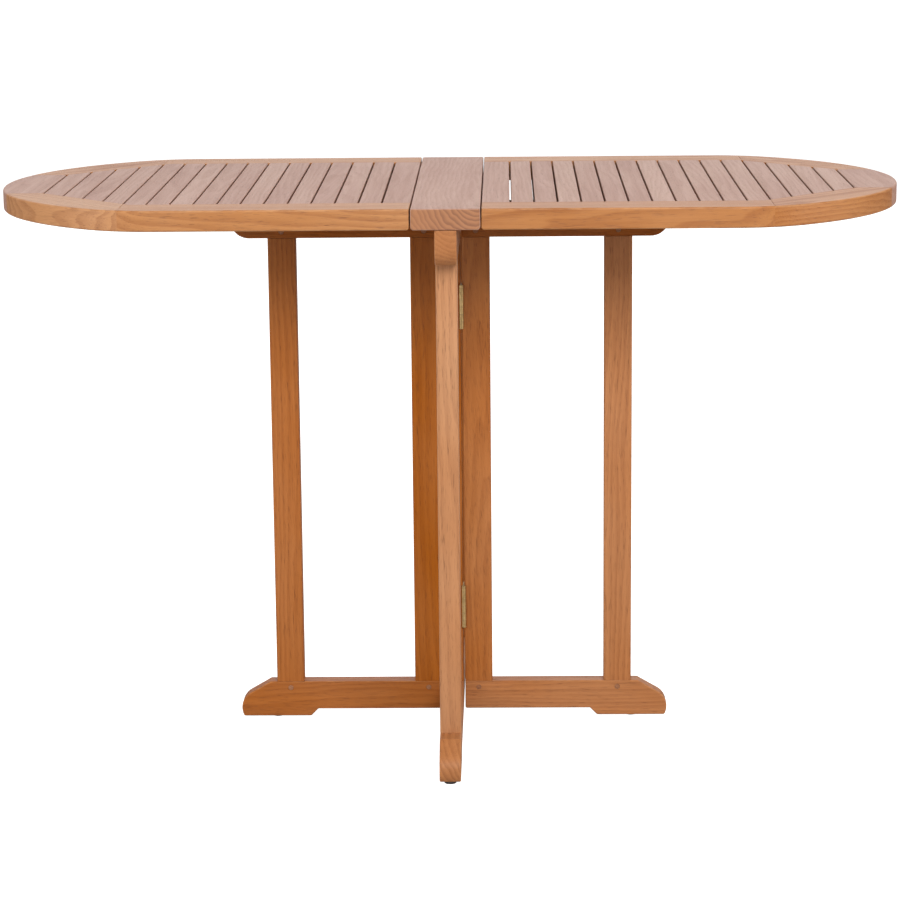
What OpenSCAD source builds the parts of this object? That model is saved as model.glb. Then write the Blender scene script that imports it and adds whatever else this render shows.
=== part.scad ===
// Folding gateleg table with an oval slatted top.
// A fixed centre frame carries a narrow centre board. A gate on each side of its middle post
// swings out on two butt hinges and holds up one half-oval leaf.
// X runs along the open top, Y across it and Z up. The origin is on the floor, under the
// middle of the top. Every side piece is drawn for the right (+X) side and turned half round
// for the left one. The right gate folds towards -Y, the left gate towards +Y.

/* [Top] */
// Length of the open top, along X
top_l = 1200; // [1050:10:1500]
// Width of the top, along Y
top_w = 600; // [500:10:760]
// Height of the top's upper face above the floor
top_h = 750; // [600:5:950]
// Thickness of the top
top_t = 27; // [24:1:36]
// Width of the fixed centre board
board_w = 88; // [80:1:120]
// Gap between the centre board and each leaf
joint_gap = 1.4; // [1.2:0.2:4]
// Size of the bevel under that gap, which lets the leaf drop
joint_bevel = 3; // [1:0.5:4]
// How much larger the radius of the top's ends is than half its width
end_flat = 30; // [10:5:80]
// Radius that blends the ends of the top into its long sides
corner_r = 150; // [80:5:200]

/* [Leaf] */
// Width of the leaf's front and rear rails
rail_w = 64; // [50:1:90]
// Width of the board at the leaf's hinges
hinge_board_w = 35.5; // [32:0.5:50]
// Width of the end piece at the tip of the oval
end_piece_w = 65.5; // [50:0.5:90]
// Length, along X and along Y, of the slanted inner edge of a corner piece
corner_run = 130; // [90:5:160]
// How far a rail runs on past the start of that slanted edge
rail_past = 8; // [0:1:20]
// Number of slats in a leaf; the outer five have shaped ends
slat_count = 15; // [12:1:17]
// Gap between slats
slat_gap = 2.2; // [1.6:0.2:6]
// Length of the tongue on each end of a slat
tongue_l = 8; // [4:1:12]
// Thickness of that tongue
tongue_t = 8; // [5:0.5:10]

/* [Frame] */
// Thickness of the centre frame's timber, along X
frame_t = 28; // [24:1:40]
// Thickness of the gates' timber, along Y when a gate is open
gate_t = 24; // [20:1:32]
// Height of the rails, and of the feet
rail_h = 47.5; // [40:0.5:70]
// Width of the upright posts, except the middle one
post_w = 38; // [30:1:60]
// How far the ends of the centre top rail stay inside the top's edge
frame_inset = 2; // [0:1:60]
// How far the centre feet reach past the ends of that rail
foot_past = 18; // [0:1:40]
// Distance from the nose of a centre foot back to the face of the post on it
centre_foot_reach = 62; // [50:1:90]
// Length of a gate, from its hinged end to the nose of its foot
gate_l = 281; // [230:1:330]
// Clearance between the open gate and the leaf that rests on it
rest_gap = 0.5; // [0.3:0.1:2]
// Distance from the nose of a gate's foot back to the face of the post on it
foot_reach = 50; // [45:1:80]
// Length of the pad that a foot stands on
foot_pad = 97; // [60:1:120]
// Height of the hollow under a rail, behind the pad
foot_raise = 10; // [4:1:16]
// Radius of the nose of a foot, and of the lower corner of a top rail's end
nose_r = 25; // [15:1:28]
// Height of the nose's centre above the bottom of the foot
nose_z = 12; // [6:1:14]
// Slope of the top of a foot, in degrees
foot_slope = 30; // [20:1:40]

/* [Joinery] */
// Length of the posts' tenons
tenon_l = 30; // [15:1:32]
// Thickness of the posts' tenons
tenon_t = 8; // [6:0.5:12]
// Width of the shoulder on each side of a tenon
tenon_shoulder = 5; // [3:1:8]
// Diameter of the pins through the tenons
dowel_d = 7; // [4:0.5:10]
// Distance of a pin from the shoulder of its tenon
dowel_rise = 9; // [7:0.5:14]
// Diameter of the glides
glide_d = 16; // [10:1:20]
// Thickness of the glides below the centre feet
glide_t = 4; // [2:0.5:8]
// Thickness of the glides below the gates' feet
gate_glide_t = 1.6; // [1:0.2:8]
// Distance of a centre glide's middle from the nose of its foot
glide_inset = 13; // [12:1:60]
// Distance of a gate glide's middle from the nose of its foot
gate_glide_inset = 50; // [20:1:80]

/* [Hinges] */
// Length of a hinge
hinge_h = 60; // [40:2:80]
// Width of each hinge plate, from the pin to its edge
plate_w = 20; // [14:1:21]
// Thickness of the hinge plates
plate_t = 1.9; // [1.2:0.1:2]
// Gap between a gate and the middle post, for the folded hinge plates
hinge_gap = 2; // [2:0.1:3]
// Diameter of the hinge knuckles
knuckle_d = 6; // [5:0.2:7]
// Diameter of the hinge pins
pin_d = 3; // [2:0.1:3.5]
// Distance of the gate hinges' pin in front of the gate's face
pin_proud = 1.5; // [0.5:0.1:3]
// Distance of the upper gate hinge's middle below the top rail
hinge_drop = 95; // [60:5:200]
// Distance of the lower gate hinge's middle above the foot rail
hinge_rise = 108; // [60:5:200]
// Distance of the leaf hinges' middles from the middle of the top
top_hinge_y = 150; // [70:5:180]

/* [Screws] */
// Diameter of the plate screws
screw_d = 3.2; // [2.5:0.1:4]
// Diameter of their heads
screw_head_d = 6.4; // [5:0.1:7]
// Length of the plate screws
screw_l = 12; // [8:1:12]
// Length of the screws that hold a gate stop
stop_screw_l = 30; // [20:1:32]
// Diameter of the screws that hold the centre board
board_screw_d = 5; // [4:0.5:6]
// Diameter of their heads
board_screw_head_d = 9; // [8:0.5:11]
// Length of the screws that hold the centre board
board_screw_l = 58; // [50:1:60]
// Distances of those screws from the middle of the board
board_screw_y = [60, 134];

/* [Gate stop] */
// Length of the block, along the gate
stop_l = 40; // [20:1:80]
// Width of the block
stop_w = 16; // [12:1:30]
// Height of the block
stop_h = 16; // [10:1:30]
// Distance of the block's outer end from the end of the gate
stop_inset = 10; // [0:1:60]

/* [Hidden] */

// Smoothness of the round shapes
$fn = 64;
// Clearance in the timber joints, and around what is let into the timber
fit = 0.1;
// Clearance between parts that pass each other
run_gap = 0.6;
// Running clearance of a pin in its knuckles, and between neighbouring knuckles
pin_gap = 0.1;
knuckle_gap = 0.4;
// How far a cutter reaches past the face it opens
past = 1;
// Number of flats round the nose of a foot
NOSE_STEPS = 18;
SIDES = ["left", "right"];

// Colours of the timber, the metals and the plastic
TOP_TEAK = [0.78, 0.64, 0.55];
RIM_TEAK = [0.80, 0.60, 0.42];
FRAME_TEAK = [0.72, 0.48, 0.29];
BRASS = [0.76, 0.62, 0.36];
STEEL = [0.62, 0.58, 0.50];
GLIDE_GREY = [0.24, 0.20, 0.19];

// Outline of the top
half_l = top_l / 2;
half_w = top_w / 2;
under = top_h - top_t;
end_r = half_w + end_flat;
end_cx = half_l - end_r;
blend_cy = half_w - corner_r;
blend_cx = end_cx + sqrt(pow(end_r - corner_r, 2) - pow(blend_cy, 2));
blend_angle = atan2(blend_cy, blend_cx - end_cx);

// Leaf: the field that the slats fill, and the slats' spacing
leaf_x0 = board_w / 2 + joint_gap;
field_x0 = leaf_x0 + hinge_board_w;
field_x1 = half_l - end_piece_w;
field_y = half_w - rail_w;
slant = field_x1 + field_y - corner_run;
field_corner_x = slant - field_y;
field_corner_y = slant - field_x1;
rim_joint_x = field_corner_x + rail_past;
slat_w = (field_x1 - field_x0 - (slat_count + 1) * slat_gap) / slat_count;
slat_pitch = slat_w + slat_gap;
shaped_slats = 5;
tongue_z = under + (top_t - tongue_t) / 2;

// Heights of the frame
foot_top = glide_t + rail_h;
top_rail_z = under - rest_gap - rail_h;
post_h = top_rail_z - foot_top;
centre_reach = half_w - frame_inset;
foot_nose = centre_reach + foot_past;
post_y = foot_nose - centre_foot_reach - post_w / 2;

// Gate
gate_x0 = frame_t / 2 + hinge_gap;
gate_nose = gate_x0 + gate_l;
inner_post_x = gate_x0 + post_w / 2;
outer_post_x = gate_nose - foot_reach - post_w / 2;
gate_stop_x = gate_nose - stop_inset - stop_l / 2;
gate_stop_y = gate_t / 2 + run_gap + stop_w / 2;

// Hinges: a gate hinge's plates lie face to face, a leaf hinge's plates lie flat in the
// underside of the top
gate_pin_x = frame_t / 2 + hinge_gap / 2;
gate_pin_y = -gate_t / 2 - pin_proud;
gate_hinge_z = [foot_top + hinge_rise, top_rail_z - hinge_drop];
gate_plate_off = pin_gap;
top_pin_x = board_w / 2 + joint_gap / 2;
top_pin_z = under + knuckle_d / 2 + 0.5;
top_plate_off = -knuckle_d / 2 - 0.3;
KNUCKLES = 6;
knuckle_pitch = hinge_h / KNUCKLES;
plate_screw_x = plate_w * 0.6;
PLATE_SCREW_Z = [-hinge_h / 3, 0, hinge_h / 3];
head_depth = 0.3;

// Screws from the top rail into the centre board
board_screw_z = under + 18 - board_screw_l;

// ---------------------------------------------------------------- placing

// Turns a right-hand piece half round for the left side
module on_side(side) {
    rotate([0, 0, side == "left" ? 180 : 0]) children();
}

// Places a leaf's rear piece at the table's rear or front edge
module on_edge(side, edge) {
    turned = side == "left";
    at_rear = (edge == "rear") != turned;
    on_side(side) mirror([0, at_rear ? 0 : 1, 0]) children();
}

// Stands a profile drawn in X and Z along the gate, with its thickness centred on Y
module along_gate(thickness) {
    rotate([90, 0, 0]) linear_extrude(thickness, center = true) children();
}

// Stands a profile drawn in Y and Z along the centre frame, centred on X
module along_frame(thickness) {
    rotate([90, 0, 90]) linear_extrude(thickness, center = true) children();
}

// ---------------------------------------------------------------- top

// Right half of the top's outline: straight sides, two blend arcs and a flatter end arc
module outline() {
    wedge_x = end_cx + end_r + past;
    wedge_y = (end_r + past) * tan(blend_angle);
    translate([0, -half_w]) square([blend_cx, top_w]);
    for (y = [-blend_cy, blend_cy]) translate([blend_cx, y]) circle(r = corner_r);
    intersection() {
        translate([end_cx, 0]) circle(r = end_r);
        polygon([[end_cx, 0], [wedge_x, -wedge_y], [wedge_x, wedge_y]]);
    }
}

// The slatted field, grown by grow on its long and slanted sides and starting at x0
module field(grow, x0) {
    y = field_y + grow;
    d = slant + grow * sqrt(2);
    polygon([[x0, -y], [d - y, -y], [field_x1, field_x1 - d],
             [field_x1, d - field_x1], [d - y, y], [x0, y]]);
}

// The field's opening through the rim, with the groove that holds the tongues
module field_opening() {
    translate([0, 0, under - past]) linear_extrude(top_t + 2 * past) field(0, leaf_x0 - past);
    translate([0, 0, tongue_z - fit]) linear_extrude(tongue_t + 2 * fit)
        field(tongue_l + 5 * fit, leaf_x0 + tongue_l);
}

// The bevel under the gap beside the centre board, for the right-hand leaf
module leaf_bevel() {
    rotate([90, 0, 0]) linear_extrude(top_w + 2 * past, center = true)
        polygon([[leaf_x0 - past, under - past], [leaf_x0 + joint_bevel + past, under - past],
                 [leaf_x0 - past, under + joint_bevel + past]]);
}

module top_slab() {
    translate([0, 0, under]) linear_extrude(top_t) children();
}

module centre_board() {
    color(TOP_TEAK) difference() {
        top_slab() square([board_w, top_w], center = true);
        for (side = SIDES) on_side(side) {
            translate([-joint_gap, 0, 0]) mirror([1, 0, 0]) translate([-board_w, 0, 0])
                leaf_bevel();
            top_hinge_places() mirror([1, 0, 0]) {
                hinge_recess(top_plate_off, -top_pin_z + under);
                plate_screws(top_plate_off, fit);
            }
        }
        board_screw_places() board_screw(0);
    }
}

module hinge_board(side) {
    width = hinge_board_w;
    color(TOP_TEAK) on_side(side) difference() {
        union() {
            top_slab() translate([leaf_x0, -field_y]) square([width, 2 * field_y]);
            translate([leaf_x0 + tongue_l + fit, -field_y - tongue_l, tongue_z])
                cube([width - tongue_l - fit, 2 * (field_y + tongue_l), tongue_t]);
        }
        leaf_bevel();
        top_hinge_places() {
            hinge_recess(top_plate_off, -top_pin_z + under);
            plate_screws(top_plate_off, fit);
        }
    }
}

module rim_rail(side, edge) {
    color(RIM_TEAK) on_edge(side, edge) difference() {
        top_slab() intersection() {
            outline();
            translate([leaf_x0, 0]) square([rim_joint_x - leaf_x0, half_w + past]);
        }
        field_opening();
        leaf_bevel();
    }
}

module rim_corner(side, edge) {
    color(RIM_TEAK) on_edge(side, edge) difference() {
        top_slab() intersection() {
            outline();
            translate([rim_joint_x, field_corner_y])
                square([half_l - rim_joint_x + past, half_w - field_corner_y + past]);
        }
        field_opening();
    }
}

module end_piece(side) {
    color(TOP_TEAK) on_side(side) top_slab() intersection() {
        outline();
        translate([field_x1, -field_corner_y])
            square([end_piece_w + past, 2 * field_corner_y]);
    }
}

// The strip of the leaf that slat number i fills
module slat_strip(i) {
    x = field_x0 + slat_gap + (i - 1) * slat_pitch;
    translate([x, -half_w]) square([slat_w, top_w]);
}

module slat(i) {
    top_slab() intersection() {
        field(0, field_x0);
        slat_strip(i);
    }
    translate([0, 0, tongue_z]) linear_extrude(tongue_t) intersection() {
        field(tongue_l, field_x0);
        slat_strip(i);
    }
}

module inner_slats(side) {
    color(TOP_TEAK) on_side(side) difference() {
        for (i = [1 : slat_count - shaped_slats]) slat(i);
        stop_screws(0);
    }
}

// One of the outer slats, counted from the innermost of the shaped ones
module shaped_slat(side, rank) {
    color(TOP_TEAK) on_side(side) slat(slat_count - shaped_slats + rank);
}

module gate_stop(side) {
    color(FRAME_TEAK) on_side(side) difference() {
        translate([gate_stop_x, gate_stop_y, under - stop_h / 2])
            cube([stop_l, stop_w, stop_h], center = true);
        stop_screws(fit);
    }
}

// ---------------------------------------------------------------- frame

// Side view of a foot rail from inner to its nose: the hollow, the pad, the round nose and
// the sloped top, as points from the lower inner corner round to the upper one
function foot_points(inner, nose, high) = let (
    cx = nose - nose_r,
    slope_angle = 90 - foot_slope,
    slope_z = nose_z + nose_r * sin(slope_angle),
    slope_x = cx + nose_r * cos(slope_angle) - (high - slope_z) / tan(foot_slope),
    toe_angle = -asin(nose_z / nose_r),
    arc_step = (slope_angle - toe_angle) / NOSE_STEPS,
    pad_x = nose - foot_pad
) concat(
    [[inner, foot_raise], [pad_x - foot_raise, foot_raise], [pad_x, 0]],
    [for (i = [0 : NOSE_STEPS]) let (a = toe_angle + i * arc_step)
        [cx + nose_r * cos(a), nose_z + nose_r * sin(a)]],
    [[slope_x, high], [inner, high]]);

// The same points on the other side, from the upper inner corner round to the lower one
function flipped(points) = [for (i = [len(points) - 1 : -1 : 0]) [-points[i][0], points[i][1]]];

// Side view of a top rail: square at inner, with its lower outer corner rounded
module top_rail_profile(inner, nose, height) {
    intersection() {
        translate([inner, 0]) square([nose - inner, height]);
        union() {
            translate([inner, 0]) square([nose - nose_r - inner, height]);
            translate([inner, nose_r]) square([nose - inner, height]);
            translate([nose - nose_r, nose_r]) circle(r = nose_r);
        }
    }
}

// An upright between the rails with a stub tenon at each end, or its tenons alone, grown by
// grow, as the cutter of their mortises
module post(width, depth, grow = 0) {
    w = width - 2 * tenon_shoulder + 2 * grow;
    l = post_h + 2 * (tenon_l + grow);
    if (grow == 0) translate([-width / 2, -depth / 2, foot_top]) cube([width, depth, post_h]);
    translate([-w / 2, -tenon_t / 2 - grow, foot_top - tenon_l - grow])
        cube([w, tenon_t + 2 * grow, l]);
}

// The two pins of one post, through its tenons
module post_dowels(length) {
    for (z = [foot_top - dowel_rise, top_rail_z + dowel_rise])
        translate([0, 0, z]) rotate([90, 0, 0]) cylinder(d = dowel_d, h = length, center = true);
}

// The places of the centre frame's posts, whose width runs along Y
module centre_post_places() {
    for (y = [-post_y, 0, post_y]) translate([0, y, 0]) rotate([0, 0, 90]) children();
}

module centre_post(y) {
    color(FRAME_TEAK) translate([0, y, 0]) rotate([0, 0, 90]) difference() {
        post(post_w, frame_t);
        post_dowels(frame_t + past);
    }
}

// The middle post is as deep as a gate is thick, so that both gates lie flush with it
module middle_post() {
    color(FRAME_TEAK) difference() {
        rotate([0, 0, 90]) post(gate_t, frame_t);
        rotate([0, 0, 90]) post_dowels(frame_t + past);
        for (side = SIDES) on_side(side) gate_hinge_places() rotate([0, 0, 90]) {
            hinge_recess(gate_plate_off, hinge_gap / 2);
            plate_screws(gate_plate_off, fit);
        }
    }
}

// The mortises and pin holes of the centre frame
module centre_joints() {
    for (y = [-post_y, post_y]) translate([0, y, 0]) rotate([0, 0, 90])
        post(post_w, frame_t, fit);
    rotate([0, 0, 90]) post(gate_t, frame_t, fit);
    centre_post_places() post_dowels(frame_t + past);
}

module centre_foot_rail() {
    half = foot_points(past, foot_nose, rail_h);
    color(FRAME_TEAK) difference() {
        translate([0, 0, glide_t]) along_frame(frame_t)
            polygon(concat(half, flipped(half)));
        centre_joints();
        centre_glide_places() glide_nail(glide_t, fit);
    }
}

module centre_top_rail() {
    height = under - top_rail_z;
    color(FRAME_TEAK) difference() {
        translate([0, 0, top_rail_z]) along_frame(frame_t) {
            top_rail_profile(-past, centre_reach, height);
            mirror([1, 0]) top_rail_profile(-past, centre_reach, height);
        }
        centre_joints();
        board_screw_places() board_screw(fit);
    }
}

module centre_dowels() {
    color(RIM_TEAK) centre_post_places() post_dowels(frame_t);
}

module gate_post_places() {
    for (x = [inner_post_x, outer_post_x]) translate([x, 0, 0]) children();
}

module gate_outer_post(side) {
    color(FRAME_TEAK) on_side(side) translate([outer_post_x, 0, 0]) difference() {
        post(post_w, gate_t);
        post_dowels(gate_t + past);
    }
}

module gate_inner_post(side) {
    color(FRAME_TEAK) on_side(side) difference() {
        translate([inner_post_x, 0, 0]) post(post_w, gate_t);
        translate([inner_post_x, 0, 0]) post_dowels(gate_t + past);
        gate_hinge_places() mirror([1, -1, 0]) {
            hinge_recess(gate_plate_off, hinge_gap / 2);
            plate_screws(gate_plate_off, fit);
        }
    }
}

module gate_foot_rail(side) {
    color(FRAME_TEAK) on_side(side) difference() {
        translate([0, 0, gate_glide_t]) along_gate(gate_t)
            polygon(foot_points(gate_x0, gate_nose, foot_top - gate_glide_t));
        gate_post_places() post(post_w, gate_t, fit);
        gate_post_places() post_dowels(gate_t + past);
        gate_glide_place() glide_nail(gate_glide_t, fit);
    }
}

module gate_top_rail(side) {
    color(FRAME_TEAK) on_side(side) difference() {
        translate([0, 0, top_rail_z]) along_gate(gate_t)
            top_rail_profile(gate_x0, gate_nose, rail_h);
        gate_post_places() post(post_w, gate_t, fit);
        gate_post_places() post_dowels(gate_t + past);
    }
}

module gate_dowels(side) {
    color(RIM_TEAK) on_side(side) gate_post_places() post_dowels(gate_t);
}

// ---------------------------------------------------------------- glides

// The nail of a glide, grown by grow for its hole
module glide_nail(thick, grow) {
    translate([0, 0, thick / 2]) cylinder(d = 3 + 2 * grow, h = 14 + grow);
}

// A round pad with a bevelled lower edge, and its nail
module glide(thick) {
    bevel = thick / 4;
    translate([0, 0, bevel]) cylinder(d = glide_d, h = thick - bevel);
    cylinder(d1 = glide_d - 2 * bevel, d2 = glide_d, h = bevel);
    glide_nail(thick, 0);
}

module centre_glide_places() {
    for (y = [-1, 1]) translate([0, y * (foot_nose - glide_inset), 0]) children();
}

module gate_glide_place() {
    translate([gate_nose - gate_glide_inset, 0, 0]) children();
}

module centre_glides() {
    color(GLIDE_GREY) centre_glide_places() glide(glide_t);
}

module gate_glide(side) {
    color(GLIDE_GREY) on_side(side) gate_glide_place() glide(gate_glide_t);
}

// ---------------------------------------------------------------- hinges and screws

// Half of a butt hinge with its pin on Z: the plate runs along X, its outer face is at
// y = off, and its screws go in along +Y. It has the even knuckles if parity is 0.
module hinge_half(parity, off) {
    difference() {
        union() {
            translate([0, off, -hinge_h / 2]) cube([plate_w, plate_t, hinge_h]);
            for (k = [parity : 2 : KNUCKLES - 1])
                translate([0, 0, -hinge_h / 2 + k * knuckle_pitch + knuckle_gap / 2])
                    cylinder(d = knuckle_d, h = knuckle_pitch - knuckle_gap);
        }
        for (k = [1 - parity : 2 : KNUCKLES - 1])
            translate([0, 0, -hinge_h / 2 + k * knuckle_pitch - knuckle_gap / 2])
                cylinder(d = knuckle_d + run_gap, h = knuckle_pitch + knuckle_gap);
        cylinder(d = pin_d + pin_gap, h = hinge_h + 2 * past, center = true);
        plate_screws(off, fit);
    }
}

module hinge_pin() {
    cylinder(d = pin_d, h = hinge_h, center = true);
}

// The room for a plate and the knuckles in the timber, whose face is at y = face
module hinge_recess(off, face) {
    depth = off + plate_t + fit - face;
    translate([-past, face - past, -hinge_h / 2 - fit])
        cube([plate_w + past + fit, depth + past, hinge_h + 2 * fit]);
    cylinder(d = knuckle_d + 2 * run_gap, h = hinge_h + 2 * fit, center = true);
}

// A countersunk wood screw along +Z, its head's face at the origin, grown by grow. A hole's
// cutter has no driver slot.
module wood_screw(length, shank_d, head_d, grow) {
    difference() {
        union() {
            cylinder(d1 = head_d + 2 * grow, d2 = shank_d + 2 * grow, h = head_d / 4);
            cylinder(d = shank_d + 2 * grow, h = length);
        }
        if (grow == 0) for (a = [0, 90]) rotate([0, 0, a])
            cube([head_d * 0.55, head_d * 0.12, head_d * 0.2], center = true);
    }
}

// The screws of one hinge half, or their holes
module plate_screws(off, grow) {
    for (z = PLATE_SCREW_Z) translate([plate_screw_x, off + head_depth, z]) {
        rotate([-90, 0, 0]) wood_screw(screw_l, screw_d, screw_head_d, grow);
        if (grow > 0) rotate([90, 0, 0]) cylinder(d = screw_head_d + 2 * grow, h = past);
    }
}

// The places of the right gate's hinges and of the right leaf's hinges
module gate_hinge_places() {
    for (z = gate_hinge_z) translate([gate_pin_x, gate_pin_y, z]) children();
}

module top_hinge_places() {
    for (y = [-top_hinge_y, top_hinge_y])
        translate([top_pin_x, y, top_pin_z]) rotate([90, 0, 0]) children();
}

module gate_hinge_fixed_plates() {
    color(BRASS) for (side = SIDES) on_side(side) gate_hinge_places() rotate([0, 0, 90])
        hinge_half(0, gate_plate_off);
}

module gate_hinge_plates(side) {
    color(BRASS) on_side(side) gate_hinge_places() mirror([1, -1, 0])
        hinge_half(1, gate_plate_off);
}

module gate_hinge_pins() {
    color(BRASS) for (side = SIDES) on_side(side) gate_hinge_places() hinge_pin();
}

module top_hinge_fixed_plates() {
    color(BRASS) for (side = SIDES) on_side(side) top_hinge_places() mirror([1, 0, 0])
        hinge_half(0, top_plate_off);
}

module top_hinge_plates(side) {
    color(BRASS) on_side(side) top_hinge_places() hinge_half(1, top_plate_off);
}

module top_hinge_pins() {
    color(BRASS) for (side = SIDES) on_side(side) top_hinge_places() hinge_pin();
}

module fixed_plate_screws() {
    color(STEEL) for (side = SIDES) on_side(side) {
        gate_hinge_places() rotate([0, 0, 90]) plate_screws(gate_plate_off, 0);
        top_hinge_places() mirror([1, 0, 0]) plate_screws(top_plate_off, 0);
    }
}

module gate_screws(side) {
    color(STEEL) on_side(side) gate_hinge_places() mirror([1, -1, 0])
        plate_screws(gate_plate_off, 0);
}

// The two screws of a gate stop, or their holes
module stop_screws(grow) {
    for (x = [-stop_l / 3, stop_l / 3])
        translate([gate_stop_x + x, gate_stop_y, under - stop_h + head_depth]) {
            wood_screw(stop_screw_l, screw_d, screw_head_d, grow);
            if (grow > 0) translate([0, 0, -past])
                cylinder(d = screw_head_d + 2 * grow, h = past + fit);
        }
}

module leaf_screws(side) {
    color(STEEL) on_side(side) {
        top_hinge_places() plate_screws(top_plate_off, 0);
        stop_screws(0);
    }
}

module board_screw_places() {
    for (side = [-1, 1], y = board_screw_y) translate([0, side * y, board_screw_z]) children();
}

// A screw from the top rail up into the centre board, with its counterbore in a cutter
module board_screw(grow) {
    wood_screw(board_screw_l, board_screw_d, board_screw_head_d, grow);
    if (grow > 0) translate([0, 0, top_rail_z - board_screw_z - past])
        cylinder(d = board_screw_head_d + 4 * grow, h = board_screw_z - top_rail_z + past + fit);
}

module board_screws() {
    color(STEEL) board_screw_places() board_screw(0);
}

// ---------------------------------------------------------------- pieces

centre_board();
centre_top_rail();
centre_foot_rail();
centre_post(-post_y);  // front_post
middle_post();
centre_post(post_y);  // rear_post
centre_dowels();
centre_glides();
board_screws();
gate_hinge_fixed_plates();
gate_hinge_pins();
top_hinge_fixed_plates();
top_hinge_pins();
fixed_plate_screws();
for (side = SIDES) {
    hinge_board(side);
    rim_rail(side, "front");
    rim_rail(side, "rear");
    rim_corner(side, "front");
    rim_corner(side, "rear");
    end_piece(side);
    inner_slats(side);
    shaped_slat(side, 1);
    shaped_slat(side, 2);
    shaped_slat(side, 3);
    shaped_slat(side, 4);
    shaped_slat(side, 5);
    gate_stop(side);
    top_hinge_plates(side);
    leaf_screws(side);
    gate_inner_post(side);
    gate_outer_post(side);
    gate_top_rail(side);
    gate_foot_rail(side);
    gate_dowels(side);
    gate_glide(side);
    gate_hinge_plates(side);
    gate_screws(side);
}
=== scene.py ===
"""Folding gateleg table with an oval slatted top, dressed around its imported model.

Everything is in metres: X runs along the open top, Y across it, Z up from the floor. Each side
piece is drawn for the right-hand (+X) side and turned half round for the left-hand one.
"""

import logging
import math
import zlib
from abc import ABC, abstractmethod
from collections.abc import Iterable
from dataclasses import dataclass, field, replace
from enum import Enum
from typing import Any

import bpy
import numpy as np
from mathutils import Matrix, Vector


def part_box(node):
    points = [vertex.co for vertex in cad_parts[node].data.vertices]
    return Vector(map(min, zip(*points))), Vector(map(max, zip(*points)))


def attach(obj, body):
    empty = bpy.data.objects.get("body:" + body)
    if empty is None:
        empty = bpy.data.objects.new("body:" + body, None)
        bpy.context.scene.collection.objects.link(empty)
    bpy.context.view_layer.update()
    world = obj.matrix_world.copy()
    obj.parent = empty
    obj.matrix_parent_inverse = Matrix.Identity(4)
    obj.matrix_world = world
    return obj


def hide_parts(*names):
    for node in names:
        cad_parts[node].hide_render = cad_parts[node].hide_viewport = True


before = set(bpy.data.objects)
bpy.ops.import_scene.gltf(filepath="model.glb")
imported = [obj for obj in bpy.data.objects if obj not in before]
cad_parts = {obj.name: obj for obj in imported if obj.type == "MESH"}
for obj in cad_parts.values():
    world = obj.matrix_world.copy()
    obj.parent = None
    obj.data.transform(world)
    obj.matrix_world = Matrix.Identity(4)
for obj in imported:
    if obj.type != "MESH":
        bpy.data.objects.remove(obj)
LOG = logging.getLogger("gateleg_table")

Point = tuple[float, float, float]
Colour = tuple[float, float, float]
ALONG_X: Point = (1.0, 0.0, 0.0)
ALONG_Y: Point = (0.0, 1.0, 0.0)
ALONG_Z: Point = (0.0, 0.0, 1.0)

# Attributes stored on every mesh.
GRAIN = "grain"
TONE_AND_SHADE = "board_tone"
END_GRAIN = "end_grain"
WEAR = "wear"

# How light (up to 1) or dark (down to -1) single boards are; the others draw theirs.
# Most are the wood's own colour, but some are painted light and shade: the gate top rails
# and the left gate's inner post are darkened as painted shade where shadow falls under the
# top and behind the front post, and the front post is lightened as painted light.
BOARD_TONES_AND_SHADE = {
    "front_post": 1.0, "middle_post": -0.7, "centre_top_rail": 0.5, "centre_foot_rail": 0.2,
    "left_gate_inner_post": -1.0, "left_gate_outer_post": -0.4, "left_gate_foot_rail": -0.5,
    "left_gate_top_rail": -0.9, "right_gate_inner_post": -0.4, "right_gate_outer_post": 0.3,
    "right_gate_foot_rail": 0.2, "right_gate_top_rail": -0.9, "left_front_corner": 0.6,
    "right_front_corner": -0.7, "right_front_rail": -0.6, "left_front_rail": 0.1,
}
TONE_SPREAD = 0.6

# How a board lies in its log: tilt of the grain, distance from the heart, half the log's length.
GRAIN_TILT = math.radians(1.3)
HEART_REACH = (0.035, 0.11)
LOG_HALF = 3

# How far a cutter runs past what it cuts, and where edges and corners count as sharp.
PAST = 0.001
SHARP_EDGE = math.radians(35)
FINE_TURN = math.radians(20)

# The least ease that rounds a corner, the corner's radius per ease, and chords of an arc.
LEAST_EASE = 0.0006
CORNER_SHARE = 1.25
CORNER_CHORDS = 4
EASE_CHORDS = 3


class Side(Enum):
    """Which half of the table a piece belongs to; the value is its sign on X and Y."""

    LEFT = -1.0
    RIGHT = 1.0

    @property
    def word(self) -> str:
        """The side as it stands in the names of nodes and bodies."""
        return self.name.lower()

    @property
    def leaf(self) -> str:
        """The body that this side's leaf rides on."""
        return f"{self.word}_leaf"

    @property
    def gate(self) -> str:
        """The body that this side's gate rides on."""
        return f"{self.word}_gate"


class Edge(Enum):
    """A long edge of the table; the value is its sign on Y."""

    FRONT = -1.0
    REAR = 1.0

    @property
    def word(self) -> str:
        """The edge as it stands in the names of nodes."""
        return self.name.lower()


class Lie(Enum):
    """The view that a prism's outline is drawn in: its thickness runs along Z, Y or X."""

    PLAN = (ALONG_X, ALONG_Y, ALONG_Z)
    FRONT = (ALONG_X, (0.0, 0.0, -1.0), ALONG_Y)
    SIDE = (ALONG_Z, ALONG_X, ALONG_Y)

    @property
    def turn(self) -> np.ndarray:
        """The rotation matrix from (u, v, w) to (x, y, z)."""
        return np.array(self.value)


# ---------------------------------------------------------------- sizes


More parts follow.
